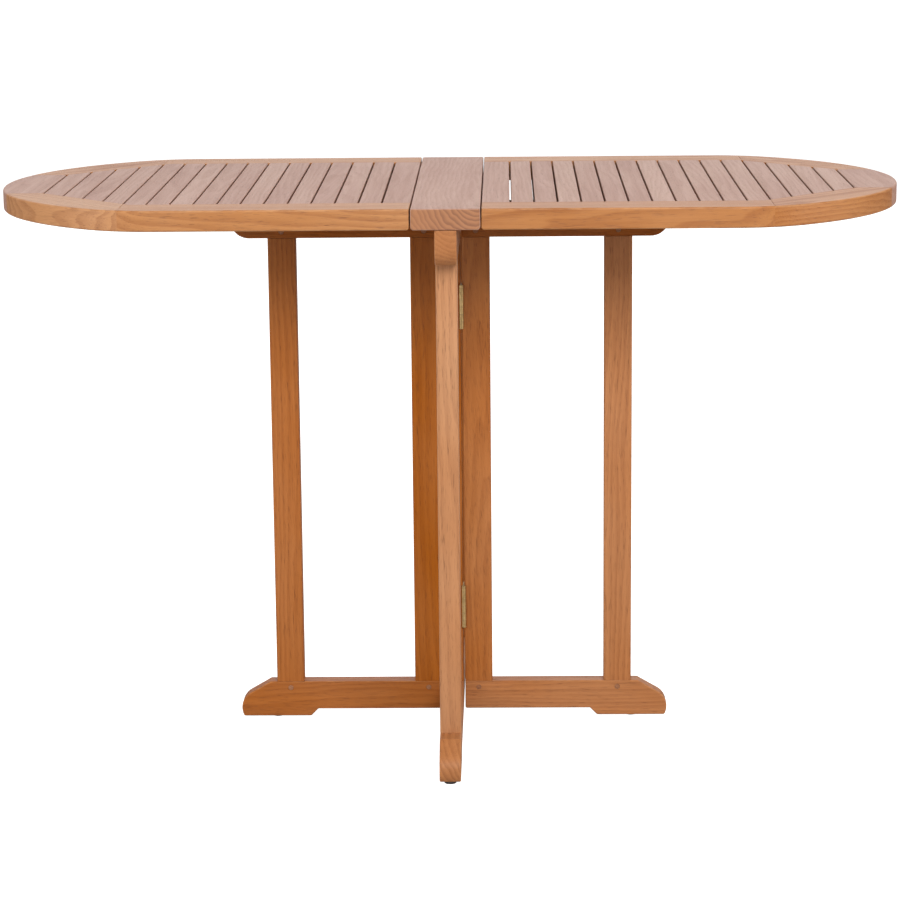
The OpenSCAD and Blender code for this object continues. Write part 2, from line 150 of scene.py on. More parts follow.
@dataclass(frozen=True)
class TopSizes:
    """Sizes of the oval top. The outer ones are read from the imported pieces."""

    half_l: float
    half_w: float
    under: float
    top: float
    board_half: float
    leaf_x0: float
    field_x0: float
    field_x1: float
    field_y: float
    rim_joint_x: float
    end_flat: float = 0.030
    blend_r: float = 0.150
    corner_run: float = 0.130
    slat_count: int = 15
    shaped_slats: int = 5
    slat_gap: float = 0.0022
    slat_tongue: float = 0.008
    under_bevel: float = 0.003
    rim_ease: float = 0.0026
    slat_ease: float = 0.0016
    joint_ease: float = 0.0004

    @classmethod
    def from_frame(cls) -> "TopSizes":
        """Reads the top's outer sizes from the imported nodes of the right-hand leaf.

        Returns:
            The sizes of the top.
        """
        board_low, board_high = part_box("centre_board")
        slats_low, slats_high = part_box("right_inner_slats")
        rail_low, rail_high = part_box("right_rear_rail")
        end_low, end_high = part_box("right_end_piece")
        return cls(
            half_l=end_high.x, half_w=board_high.y, under=board_low.z, top=board_high.z,
            board_half=board_high.x, leaf_x0=rail_low.x, field_x0=slats_low.x - cls.slat_gap,
            field_x1=end_low.x, field_y=slats_high.y - cls.slat_tongue, rim_joint_x=rail_high.x,
        )

    @property
    def end_r(self) -> float:
        """Radius of the flatter end arc."""
        return self.half_w + self.end_flat

    @property
    def end_cx(self) -> float:
        """X of the end arc's centre."""
        return self.half_l - self.end_r

    @property
    def blend_cy(self) -> float:
        """Y of the blend arc's centre."""
        return self.half_w - self.blend_r

    @property
    def blend_cx(self) -> float:
        """X of the blend arc's centre, where the two arcs touch inwardly."""
        return self.end_cx + math.sqrt((self.end_r - self.blend_r) ** 2 - self.blend_cy**2)

    @property
    def blend_angle(self) -> float:
        """Angle at which the end arc passes into the blend arc."""
        return math.atan2(self.blend_cy, self.blend_cx - self.end_cx)

    @property
    def slant(self) -> float:
        """x + y along the slanted inner edge of a corner piece."""
        return self.field_x1 + self.field_y - self.corner_run

    @property
    def field_corner(self) -> tuple[float, float]:
        """(x where the slant starts, y where it ends)."""
        return self.slant - self.field_y, self.slant - self.field_x1

    @property
    def end_joint_angle(self) -> float:
        """Angle on the end arc of the joint between corner and end piece, which runs along X."""
        return math.asin(self.field_corner[1] / self.end_r)

    @property
    def rim_joint_angle(self) -> float:
        """Angle on the blend arc of the joint between rail and corner."""
        return math.acos((self.rim_joint_x - self.blend_cx) / self.blend_r)

    @property
    def slat_w(self) -> float:
        """Width of one slat."""
        room = self.field_x1 - self.field_x0 - (self.slat_count + 1) * self.slat_gap
        return room / self.slat_count


@dataclass(frozen=True)
class FrameSizes:
    """Sizes of the centre frame and the gates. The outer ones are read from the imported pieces."""

    frame_half: float
    gate_half: float
    foot_bottom: float
    gate_foot_bottom: float
    foot_top: float
    top_rail_z: float
    gate_top: float
    centre_reach: float
    centre_nose: float
    gate_x0: float
    gate_nose: float
    post_w: float
    post_y: float
    outer_post_x: float
    foot_pad: float = 0.097
    foot_raise: float = 0.010
    nose_r: float = 0.025
    nose_z: float = 0.012
    foot_slope: float = math.radians(30)
    arris: float = 0.0018
    shoulder: float = 0.0003
    dowel_r: float = 0.0035
    dowel_rise: float = 0.009
    dowel_proud: float = 0.00015
    dowel_soft: float = 0.0004
    dowel_room: float = 0.0001
    dowel_hole: float = 0.06
    board_screw_y: tuple[float, float] = (0.060, 0.134)
    screw_bore_r: float = 0.0047
    screw_bore: float = 0.0107
    screw_bore_drop: float = 0.005
    glide_soft: float = 0.3
    stop_ease: float = 0.0015
    stop_bore_r: float = 0.0034
    stop_bore: float = 0.001

    @classmethod
    def from_frame(cls) -> "FrameSizes":
        """Reads the frame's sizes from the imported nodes.

        Returns:
            The sizes of the centre frame and the gates.
        """
        foot_low, foot_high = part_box("centre_foot_rail")
        rail_low, rail_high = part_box("centre_top_rail")
        gate_low, gate_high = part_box("right_gate_foot_rail")
        _, gate_rail_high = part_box("right_gate_top_rail")
        post_low, post_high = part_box("front_post")
        outer_low, outer_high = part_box("right_gate_outer_post")
        return cls(
            frame_half=foot_high.x, gate_half=gate_high.y, foot_bottom=foot_low.z,
            gate_foot_bottom=gate_low.z, foot_top=foot_high.z, top_rail_z=rail_low.z,
            gate_top=gate_rail_high.z, centre_reach=rail_high.y, centre_nose=foot_high.y,
            gate_x0=gate_low.x, gate_nose=gate_high.x, post_w=outer_high.x - outer_low.x,
            post_y=-(post_low.y + post_high.y) / 2, outer_post_x=(outer_low.x + outer_high.x) / 2,
        )

    @property
    def inner_post_x(self) -> float:
        """X of the inner gate post's middle."""
        return self.gate_x0 + self.post_w / 2

    @property
    def dowel_heights(self) -> tuple[float, float]:
        """Heights of the lower and upper pin of a post."""
        return self.foot_top - self.dowel_rise, self.top_rail_z + self.dowel_rise


# ---------------------------------------------------------------- surfaces


@dataclass(frozen=True)
class Outline:
    """A closed outline, anticlockwise, and how far each edge (point i to i + 1) is eased."""

    points: np.ndarray
    eases: np.ndarray

    @classmethod
    def of(cls, points: list[tuple[float, float]], eases: float | list[float]) -> "Outline":
        """Makes an outline from anticlockwise corners and one ease, or one for each edge."""
        corners = np.array(points, float)
        return cls(corners, np.broadcast_to(np.array(eases, float), len(corners)).copy())

    def mirrored(self) -> "Outline":
        """The outline with v turned to -v, still anticlockwise."""
        return Outline((self.points * (1, -1))[::-1], np.roll(self.eases[::-1], -1))

    def stopped(self, index: int, spans: list[tuple[float, float]], crisp: float) -> "Outline":
        """Leaves an edge crisp where other timbers stand against it.

        Args:
            index: The edge, which runs along the first axis.
            spans: Stretches (low, high) of the first axis that are covered.
            crisp: Ease of the covered stretches.

        Returns:
            The outline with the edge divided.
        """
        start, end = self.points[index], self.points[(index + 1) % len(self.points)]
        forward = end[0] > start[0]
        open_ease = self.eases[index]
        points, eases, closed = [], [], False
        for span in sorted(spans, reverse=not forward):
            first, last = span if forward else span[::-1]
            if abs(first - start[0]) > 1e-6:
                points.append((first, start[1]))
                eases.append(open_ease)
            eases.append(crisp)
            closed = abs(last - end[0]) < 1e-6
            if not closed:
                points.append((last, start[1]))
        if not closed:
            eases.append(open_ease)
        return Outline(np.insert(self.points, index + 1, np.array(points), 0),
                       np.concatenate([self.eases[:index], eases, self.eases[index + 1:]]))

    def rounded(self) -> "Outline":
        """Rounds each corner that turns sharply between two eased edges.

        A corner c with unit directions a and b to its neighbours, at an angle 2h, gets an arc
        about o = c + r (a + b) / (|a + b| sin h), and its points are the spherical blend of
        the two tangent points about o.

        Returns:
            The outline with its arcs.
        """
        p, before, after = self.points, np.roll(self.points, 1, 0), np.roll(self.points, -1, 0)
        a = (before - p) / np.linalg.norm(before - p, axis=1)[:, None]
        b = (after - p) / np.linalg.norm(after - p, axis=1)[:, None]
        turn = math.pi - np.arccos(np.clip((a * b).sum(1), -1, 1))
        softest = np.minimum(np.roll(self.eases, 1), self.eases)
        round_it = (turn > FINE_TURN) & (softest >= LEAST_EASE)
        half = np.where(round_it, (math.pi - turn) / 2, 1.0)
        r = CORNER_SHARE * softest
        middle = a + b
        middle /= np.maximum(np.linalg.norm(middle, axis=1), 1e-9)[:, None]
        centre = p + middle * (r / np.sin(half))[:, None]
        start = p + a * (r / np.tan(half))[:, None] - centre
        end = p + b * (r / np.tan(half))[:, None] - centre
        sweep = np.where(round_it, turn, 1.0)[:, None]
        k = np.linspace(0, 1, CORNER_CHORDS + 1)[None]
        blend_a, blend_b = np.sin((1 - k) * sweep), np.sin(k * sweep)
        arc = blend_a[..., None] * start[:, None] + blend_b[..., None] * end[:, None]
        arc = centre[:, None] + arc / np.sin(sweep)[..., None]
        arc[~round_it] = p[~round_it][:, None]
        eases = np.repeat(softest[:, None], CORNER_CHORDS + 1, 1)
        eases[:, -1] = self.eases
        keep = np.repeat(round_it[:, None], CORNER_CHORDS + 1, 1)
        keep[:, -1] = True
        return Outline(arc[keep], eases[keep])


@dataclass(frozen=True)
class Shell:
    """A closed surface: its points, its faces and how worn each point is."""

    points: np.ndarray
    faces: list[list[int]]
    wear: np.ndarray

    def turned(self, matrix: np.ndarray) -> "Shell":
        """The shell with each point p moved to matrix · p, a rotation."""
        return replace(self, points=self.points @ np.asarray(matrix).T)

    def moved(self, x: float = 0.0, y: float = 0.0, z: float = 0.0) -> "Shell":
        """The shell moved by (x, y, z)."""
        return replace(self, points=self.points + (x, y, z))

    def on(self, side: Side) -> "Shell":
        """The shell turned half round Z for the left-hand side."""
        return replace(self, points=self.points * (side.value, side.value, 1.0))


def arc(cx: float, cy: float, r: float, start: float, end: float,
        steps: int) -> list[tuple[float, float]]:
    """Points (cx, cy) + r (cos t, sin t), t running from start to end in even steps."""
    t = np.linspace(start, end, steps + 1)
    return list(zip((cx + r * np.cos(t)).tolist(), (cy + r * np.sin(t)).tolist()))


def inward_shifts(outline: Outline) -> np.ndarray:
    """Shift of each point when every edge moves inwards by its ease.

    The shift m solves n·m = ease for the outward normals n of the two edges that meet there,
    and is their least-squares answer where the outline barely turns.

    Args:
        outline: The outline.

    Returns:
        An (N, 2) array, to be subtracted from the points.
    """
    run = np.roll(outline.points, -1, 0) - outline.points
    normal = np.stack([run[:, 1], -run[:, 0]], 1) / np.linalg.norm(run, axis=1)[:, None]
    pairs = np.stack([np.roll(normal, 1, 0), normal], 1)
    wanted = np.stack([np.roll(outline.eases, 1), outline.eases], 1)[..., None]
    return (np.linalg.pinv(pairs, rcond=0.3) @ wanted)[..., 0]


def stacked(rings: np.ndarray, worn: np.ndarray | None = None) -> Shell:
    """Joins rings of points by quads, from the first ring to the last, and caps both ends.

    Args:
        rings: An (R, N, 3) array; each ring runs anticlockwise seen from the last one's side.
        worn: Wear of each ring, or None for no wear.

    Returns:
        The closed surface.
    """
    index = np.arange(rings.shape[0] * rings.shape[1]).reshape(rings.shape[:2])
    ahead = np.roll(index, -1, 1)
    quads = np.stack([index[:-1], ahead[:-1], ahead[1:], index[1:]], 2).reshape(-1, 4)
    faces = quads.tolist() + [index[0][::-1].tolist(), index[-1].tolist()]
    wear = np.zeros(len(rings)) if worn is None else worn
    return Shell(rings.reshape(-1, 3), faces, np.repeat(wear, rings.shape[1]))


def eased_prism(outline: Outline, low: float, high: float, lie: Lie = Lie.PLAN) -> Shell:
    """A prism whose long edges are quarter rounds, closed by two flat caps.

    Ring by ring, for an angle t from 0 to 90 degrees, the outline is inset by
    ease (1 - sin t) at a height of ease (1 - cos t) from its face.

    Args:
        outline: The outline in u and v.
        low: Lower end on w.
        high: Upper end on w.
        lie: How u, v and w lie in the frame.

    Returns:
        The closed surface.
    """
    shift = inward_shifts(outline)
    depth = np.maximum(np.roll(outline.eases, 1), outline.eases)
    t = np.linspace(0, math.pi / 2, EASE_CHORDS + 1)[:, None]
    flat = outline.points[None] - (1 - np.sin(t))[..., None] * shift[None]
    rise = (1 - np.cos(t)) * depth[None]
    below = np.concatenate([flat, (low + rise)[..., None]], 2)
    above = np.concatenate([flat, (high - rise)[..., None]], 2)[::-1]
    rubbed = np.sin(2 * t[:, 0])
    return stacked(np.concatenate([below, above]),
                   np.concatenate([rubbed, rubbed[::-1]])).turned(lie.turn)


def lathe(profile: list[tuple[float, float]], steps: int = 40) -> Shell:
    """A surface of revolution about Z: (r cos t, r sin t, z) for each profile point (r, z).

    Args:
        profile: Points (r, z) from the bottom up, with r > 0; flat caps close both ends.
        steps: Number of points round the axis.

    Returns:
        The closed surface.
    """
    rz = np.array(profile, float)
    t = np.arange(steps) * 2 * math.pi / steps
    ring = np.stack([np.cos(t), np.sin(t)], 1)
    high = np.broadcast_to(rz[:, None, 1:], (len(rz), steps, 1))
    return stacked(np.concatenate([rz[:, None, :1] * ring[None], high], 2))


def block(low: Point, high: Point) -> Shell:
    """A sharp box between two corners, used as a cutter.

    Args:
        low: Lowest corner.
        high: Highest corner.

    Returns:
        The closed surface: eight points, with bit 0, 1 and 2 of an index for x, y and z.
    """
    bits = np.stack([np.arange(8) >> k & 1 for k in range(3)], 1)
    points = np.where(bits == 1, np.array(high), np.array(low)).astype(float)
    faces = [[0, 2, 3, 1], [4, 5, 7, 6], [0, 1, 5, 4], [2, 6, 7, 3], [0, 4, 6, 2], [1, 3, 7, 5]]
    return Shell(points, faces, np.zeros(8))


def rod(centre: Point, r: float, length: float, lie: Lie) -> Shell:
    """A cylinder used as a cutter: PLAN stands it on Z, FRONT lays it along Y, SIDE along X."""
    stood = lathe([(r, -length / 2), (r, length / 2)], 32)
    return stood.turned(lie.turn).moved(*centre)

# ---------------------------------------------------------------- node building


FLOAT, VECTOR = "NodeSocketFloat", "NodeSocketVector"


@dataclass(frozen=True)
class Noise:
    """Noise that is stretched: its scale on each axis, its detail and its roughness."""

    scale: Point
    detail: float = 2.0
    roughness: float = 0.5


class NodeSheet:
    """Adds nodes to one node tree and links them."""

    def __init__(self, tree: bpy.types.NodeTree) -> None:
        """Keeps the tree that the nodes go into."""
        self.tree = tree

    def feed(self, node: Any, inputs: dict[Any, Any]) -> None:
        """Gives a node its inputs.

        Args:
            node: The node.
            inputs: Values or sockets, by the input's name or number.
        """
        for key, value in inputs.items():
            if isinstance(value, bpy.types.NodeSocket):
                self.tree.links.new(value, node.inputs[key])
            else:
                node.inputs[key].default_value = value

    def add(self, kind: str, inputs: dict[Any, Any] | None = None, **settings: Any) -> Any:
        """Adds one node.

        Args:
            kind: The node's type.
            inputs: Values or sockets for its inputs, by name or number.
            settings: Attributes of the node itself.

        Returns:
            The node.
        """
        node = self.tree.nodes.new(kind)
        for key, value in settings.items():
            setattr(node, key, value)
        self.feed(node, inputs or {})
        return node

    def math(self, operation: str, *values: Any, clamp: bool = False) -> Any:
        """The result of a math node on up to three values or sockets."""
        return self.add("ShaderNodeMath", dict(enumerate(values)), operation=operation,
                        use_clamp=clamp).outputs[0]

    def times(self, a: Any, b: Any) -> Any:
        """The product of two values."""
        return self.math("MULTIPLY", a, b)

    def plus(self, a: Any, b: Any) -> Any:
        """The sum of two values."""
        return self.math("ADD", a, b)

    def less(self, a: Any, b: Any) -> Any:
        """The first value less the second."""
        return self.math("SUBTRACT", a, b)

    def swing(self, value: Any, spread: float) -> Any:
        """A value from 0 to 1 made to swing about 0, a spread wide in all."""
        return self.times(self.less(value, 0.5), spread)

    def noise(self, vector: Any, scale: Any = 1.0, detail: float = 2.0,
              roughness: float = 0.5) -> Any:
        """The value of a noise texture, from 0 to 1."""
        return self.add("ShaderNodeTexNoise", {
            "Vector": vector, "Scale": scale, "Detail": detail,
            "Roughness": roughness}).outputs["Fac"]

    def stretched(self, vector: Any, kind: Noise) -> Any:
        """The value of a stretched noise, from 0 to 1."""
        place = self.add("ShaderNodeVectorMath", {0: vector, 1: kind.scale}, operation="MULTIPLY")
        return self.noise(place.outputs[0], detail=kind.detail, roughness=kind.roughness)

    def span(self, value: Any, low: float, high: float, to_low: float = 0.0,
             to_high: float = 1.0, smooth: bool = True) -> Any:
        """The value mapped from one span to another, clamped."""
        return self.add("ShaderNodeMapRange", {
            "Value": value, "From Min": low, "From Max": high, "To Min": to_low,
            "To Max": to_high}, interpolation_type="SMOOTHSTEP" if smooth else "LINEAR",
        ).outputs["Result"]

    def mix(self, factor: Any, a: Any, b: Any) -> Any:
        """Two colours mixed by a factor; plain colours get full alpha."""
        a, b = ((*colour, 1.0) if isinstance(colour, tuple) else colour for colour in (a, b))
        return self.add("ShaderNodeMix", {0: factor, 6: a, 7: b}, data_type="RGBA").outputs[2]

    def attribute(self, name: str, output: str = "Fac") -> Any:
        """What the mesh stores under a name."""
        return self.add("ShaderNodeAttribute", attribute_name=name).outputs[output]

    def place(self) -> Any:
        """The object's own coordinates."""
        return self.add("ShaderNodeTexCoord").outputs["Object"]

    def bump(self, height: Any, strength: float, distance: float) -> Any:
        """The normal of a bumped surface."""
        return self.add("ShaderNodeBump", {"Strength": strength, "Distance": distance,
                                           "Height": height}).outputs[0]


def new_group(name: str, inputs: dict[str, tuple[str, Any]],
              outputs: Iterable[str]) -> tuple[NodeSheet, Any, Any]:
    """Makes an empty shader group with named sockets.

    Args:
        name: The group's name.
        inputs: Socket type and default value, by name.
        outputs: Names of the values it puts out.

    Returns:
        The group's sheet, its input sockets by name, and its output node.
    """
    tree = bpy.data.node_groups.new(name, "ShaderNodeTree")
    for label, (kind, value) in inputs.items():
        socket = tree.interface.new_socket(label, in_out="INPUT", socket_type=kind)
        if value is not None:
            socket.default_value = value
    for label in outputs:
        tree.interface.new_socket(label, in_out="OUTPUT", socket_type=FLOAT)
    sheet = NodeSheet(tree)
    return sheet, sheet.add("NodeGroupInput").outputs, sheet.add("NodeGroupOutput")


class TimberGrain:
    """Shader group: figure of sawn timber from coordinates that follow each board."""

    SLOW = Noise((2.2, 14.0, 14.0), 3.0, 0.55)
    UNEVEN = Noise((5.0, 60.0, 60.0))
    STREAK = Noise((7.0, 330.0, 330.0), 3.0, 0.6)
    BAND = Noise((1.6, 55.0, 55.0))
    FIBRE = Noise((38.0, 1500.0, 1500.0), roughness=0.7)
    MARK = Noise((60.0, 1150.0, 1150.0), 1.0)
    CLOUD = Noise((3.5, 9.0, 9.0))
    WOBBLE = 0.034
    RIPPLE = 0.005
    LATE_RISE = (0.15, 0.86)
    LATE_FALL = (0.9, 1.0, 1.0, 0.0)
    PORE = (0.57, 0.72)
    PORE_IN_LATE = (0.0, 1.0, 0.55, 1.0)
    STREAK_SPAN = (0.3, 0.72)
    BAND_SPAN = (0.3, 0.7)
    CLOUD_SPAN = (0.3, 0.7, 0.3, 1.0)
    STREAK_SHARE = 0.5
    FIBRE_RISE = 0.6
    LATE_DIP = 0.35

    def __init__(self) -> None:
        """Builds the group.

        Growth rings are cylinders about the board's first axis, their radius sqrt(y² + z²)
        disturbed by slow noise; each ring darkens gently and ends sharply. Streaks and pores
        are noise stretched along the grain.
        """
        s, given, out = new_group(
            "timber_grain",
            {"Grain": (VECTOR, None), "Ring spacing": (FLOAT, 0.006),
             "Ring contrast": (FLOAT, 0.5), "Streak contrast": (FLOAT, 0.5)},
            ("Figure", "Rings", "Pores", "Cloud", "Height"))
        self.tree = s.tree
        grain = given["Grain"]
        split = s.add("ShaderNodeSeparateXYZ", {0: grain})
        y, z = split.outputs[1], split.outputs[2]
        radius = s.math("SQRT", s.plus(s.times(y, y), s.times(z, z)))
        wobble = s.swing(s.stretched(grain, self.SLOW), self.WOBBLE)
        ripple = s.swing(s.stretched(grain, self.UNEVEN), self.RIPPLE)
        distance = s.plus(s.plus(radius, wobble), ripple)
        phase = s.math("FRACT", s.math("DIVIDE", distance, given["Ring spacing"]))
        late = s.times(s.span(phase, *self.LATE_RISE), s.span(phase, *self.LATE_FALL))
        pores = s.times(s.span(s.stretched(grain, self.MARK), *self.PORE),
                        s.span(late, *self.PORE_IN_LATE))
        streaks = s.plus(s.span(s.stretched(grain, self.STREAK), *self.STREAK_SPAN),
                         s.span(s.stretched(grain, self.BAND), *self.BAND_SPAN))
        streaks = s.times(s.times(streaks, given["Streak contrast"]), self.STREAK_SHARE)
        rings = s.times(late, given["Ring contrast"])
        fibre = s.times(s.stretched(grain, self.FIBRE), self.FIBRE_RISE)
        cloud = s.stretched(grain, self.CLOUD)
        s.feed(out, {
            "Figure": s.math("ADD", rings, streaks, clamp=True),
            "Rings": s.times(late, s.span(cloud, *self.CLOUD_SPAN)),
            "Pores": pores, "Cloud": cloud,
            "Height": s.less(s.less(fibre, pores), s.times(late, self.LATE_DIP))})


class EdgeWear:
    """Shader group: where an eased edge is rubbed, from the wear stored on the mesh."""

    PATCH_SPAN = (0.4, 0.66)

    def __init__(self) -> None:
        """Builds the group: the stored wear times patchy noise in the given coordinates."""
        s, given, out = new_group(
            "edge_wear", {"Wear": (FLOAT, 0.0), "Place": (VECTOR, None), "Scale": (FLOAT, 30.0)},
            ("Rubbed",))
        self.tree = s.tree
        patch = s.noise(given["Place"], given["Scale"], 3.0, 0.65)
        s.feed(out, {"Rubbed": s.times(given["Wear"], s.span(patch, *self.PATCH_SPAN))})


@dataclass(frozen=True)
class Groups:
    """The shader groups that the finishes share."""

    grain: bpy.types.NodeTree
    wear: bpy.types.NodeTree


@dataclass(frozen=True)
class Coating(ABC):
    """What every material of the table has: its name, its slot and one Principled BSDF."""

    name: str
    slot: str

    def material(self, groups: Groups) -> bpy.types.Material:
        """Builds the material.

        Args:
            groups: The shared shader groups.

        Returns:
            The material.
        """
        material, sheet, shader = start_material(self.name)
        sheet.feed(shader, self.looks(sheet, groups))
        return material

    @abstractmethod
    def looks(self, s: NodeSheet, groups: Groups) -> dict[str, Any]:
        """What goes into the shader, by the input's name."""


def start_material(name: str) -> tuple[bpy.types.Material, NodeSheet, Any]:
    """Makes a material with one Principled BSDF.

    Args:
        name: The material's name.

    Returns:
        The material, its sheet and its shader node.
    """
    material = bpy.data.materials.new(name)
    material.use_nodes = True
    tree = material.node_tree
    tree.nodes.clear()
    sheet = NodeSheet(tree)
    shader = sheet.add("ShaderNodeBsdfPrincipled")
    sheet.add("ShaderNodeOutputMaterial", {"Surface": shader.outputs[0]})
    return material, sheet, shader


@dataclass(frozen=True)
class TeakFinish(Coating):
    """Oiled teak. Colours are linear; the figure runs from pale to deep."""

    pale: Colour
    deep: Colour
    pore: Colour
    rubbed: Colour
    ring_spacing: float = 0.0065
    ring_contrast: float = 0.55
    streak_contrast: float = 0.5
    roughness: float = 0.42
    gloss: float = 0.5
    end_pale: Colour = (0.350, 0.140, 0.048)
    end_deep: Colour = (0.200, 0.070, 0.023)
    end_share: float = 0.35
    board_shift: float = 0.22
    cloud_shift: float = 0.16
    pore_share: float = 0.55
    rubbed_share: float = 0.5
    hue_per_lift: float = 0.03
    fade_per_lift: float = 0.6
    figure_rough: float = 0.10
    rubbed_rough: float = 0.12

    def looks(self, s: NodeSheet, groups: Groups) -> dict[str, Any]:
        """Lays pores, the board's lightness (partly painted light and shade), end grain and wear
        over the figure.

        Args:
            s: The material's sheet.
            groups: The shared shader groups.

        Returns:
            What goes into the shader, by the input's name.
        """
        grain = s.attribute(GRAIN, "Vector")
        figure = s.add("ShaderNodeGroup", {
            "Grain": grain, "Ring spacing": self.ring_spacing,
            "Ring contrast": self.ring_contrast,
            "Streak contrast": self.streak_contrast}, node_tree=groups.grain).outputs
        base = s.mix(figure["Figure"], self.pale, self.deep)
        base = s.mix(s.times(figure["Pores"], self.pore_share), base, self.pore)
        cloud = s.span(figure["Cloud"], 0.25, 0.75, -0.5, 0.5, smooth=False)
        # Painted light and shade: the board's stored lightness raises and lowers its value, on some
        # boards as painted shade and light rather than the wood's own colour.
        lift = s.plus(s.times(s.attribute(TONE_AND_SHADE), self.board_shift),
                      s.times(cloud, self.cloud_shift))
        varied = s.add("ShaderNodeHueSaturation", {
            "Color": base, "Value": s.plus(1.0, lift),
            "Hue": s.plus(0.5, s.times(lift, self.hue_per_lift)),
            "Saturation": s.less(1.0, s.times(lift, self.fade_per_lift))})
        cut = s.mix(figure["Rings"], self.end_pale, self.end_deep)
        end = s.times(s.span(s.attribute(END_GRAIN), 0.6, 1.0), self.end_share)
        soaked = s.mix(end, varied.outputs[0], cut)
        rub = s.add("ShaderNodeGroup", {"Wear": s.attribute(WEAR), "Place": grain},
                    node_tree=groups.wear).outputs[0]
        rough = s.plus(self.roughness, s.times(figure["Figure"], self.figure_rough))
        return {"Base Color": s.mix(s.times(rub, self.rubbed_share), soaked, self.rubbed),
                "Roughness": s.plus(rough, s.times(rub, self.rubbed_rough)),
                "Specular IOR Level": self.gloss,
                "Normal": s.bump(figure["Height"], 0.35, 0.0004)}


@dataclass(frozen=True)
class MetalFinish(Coating):
    """Rolled or plated metal with a dull patina and fine scratches, in object coordinates."""

    colour: Colour
    patina: Colour
    roughness: float
    patina_share: float = 0.5
    patina_rough: float = 0.3
    scratch_rough: float = 0.15

    def looks(self, s: NodeSheet, groups: Groups) -> dict[str, Any]:
        """Lays a patina and scratches over the metal.

        Args:
            s: The material's sheet.
            groups: The shared shader groups, which this finish has no use for.

        Returns:
            What goes into the shader, by the input's name.
        """
        place = s.place()
        spots = s.noise(place, 140.0, 4.0, 0.7)
        smudge = s.noise(place, 28.0, 3.0)
        scratch = s.stretched(place, Noise((900.0, 900.0, 60.0)))
        dulled = s.times(s.span(s.plus(spots, smudge), 0.75, 1.25), self.patina_share)
        rough = s.plus(self.roughness, s.times(dulled, self.patina_rough))
        return {"Base Color": s.mix(dulled, self.colour, self.patina), "Metallic": 1.0,
                "Roughness": s.plus(rough, s.swing(scratch, self.scratch_rough)),
                "Normal": s.bump(scratch, 0.2, 0.0001)}


@dataclass(frozen=True)
class PlasticFinish(Coating):
    """Moulded plastic, scuffed where it slides, in object coordinates."""

    colour: Colour
    scuffed: Colour

    def looks(self, s: NodeSheet, groups: Groups) -> dict[str, Any]:
        """Scuffs the plastic, most of all in its lowest two millimetres.

        Args:
            s: The material's sheet.
            groups: The shared shader groups, which this finish has no use for.

        Returns:
            What goes into the shader, by the input's name.
        """
        place = s.place()
        grit = s.noise(place, 1400.0)
        scuff = s.stretched(place, Noise((260.0, 260.0, 60.0), 3.0, 0.7))
        low = s.span(s.add("ShaderNodeSeparateXYZ", {0: place}).outputs[2], 0.0, 0.002, 1.0, 0.2)
        mask = s.times(s.span(scuff, 0.45, 0.7), low)
        return {"Base Color": s.mix(mask, self.colour, self.scuffed),
                "Roughness": s.span(mask, 0.0, 1.0, 0.45, 0.75),
                "Normal": s.bump(grit, 0.3, 0.0001)}


class Finish(Enum):
    """The finishes of the table, one for each material slot of the record."""

    TOP = TeakFinish("teak_top", "top_teak", (0.400, 0.212, 0.150), (0.290, 0.132, 0.084),
                     (0.150, 0.062, 0.038), (0.50, 0.31, 0.22), ring_contrast=0.2,
                     streak_contrast=0.5, roughness=0.5, end_share=0.85, board_shift=0.12)
    RIM = TeakFinish("teak_rim", "rim_teak", (0.450, 0.196, 0.066), (0.320, 0.118, 0.034),
                     (0.140, 0.050, 0.018), (0.56, 0.30, 0.14), ring_contrast=0.5,
                     gloss=0.35, board_shift=0.12)
    FRAME = TeakFinish("teak_frame", "frame_teak", (0.412, 0.154, 0.047), (0.290, 0.096, 0.026),
                       (0.120, 0.040, 0.012), (0.52, 0.25, 0.10), ring_contrast=0.35,
                       gloss=0.22, board_shift=0.18)
    DOWEL = TeakFinish("teak_plug", "dowel_teak", (0.300, 0.120, 0.050), (0.180, 0.065, 0.028),
                       (0.060, 0.022, 0.010), (0.35, 0.17, 0.08), ring_spacing=0.002)
    BRASS = MetalFinish("hinge_brass", "hinge_brass", (0.66, 0.46, 0.21), (0.22, 0.13, 0.05), 0.34)
    STEEL = MetalFinish("screw_steel", "screw_steel", (0.60, 0.55, 0.46), (0.30, 0.25, 0.18), 0.34,
                        0.35)
    GLIDE = PlasticFinish("glide_plastic", "glide_plastic", (0.035, 0.025, 0.022),
                          (0.14, 0.12, 0.11))


class Paintbox:
    """Makes each finish's material once and hands it out."""

    def __init__(self) -> None:
        """Builds the shared groups; materials follow when they are asked for."""
        self.groups = Groups(TimberGrain().tree, EdgeWear().tree)
        self.made: dict[Finish, bpy.types.Material] = {}

    def material(self, finish: Finish) -> bpy.types.Material:
        """The finish's material."""
        if finish not in self.made:
            self.made[finish] = finish.value.material(self.groups)
        return self.made[finish]


# ---------------------------------------------------------------- pieces


def mesh_object(name: str, shell: Shell) -> bpy.types.Object:
    """Puts a shell into a new object at the origin.

    Args:
        name: The object's name.
        shell: The surface.

    Returns:
        The object, linked to the scene, with its wear stored on its points.
    """
    mesh = bpy.data.meshes.new(name)
    mesh.from_pydata(shell.points.tolist(), [], shell.faces)
    mesh.attributes.new(WEAR, "FLOAT", "POINT").data.foreach_set(
        "value", shell.wear.astype(np.float32))
    made = bpy.data.objects.new(name, mesh)
    bpy.context.scene.collection.objects.link(made)
    return made


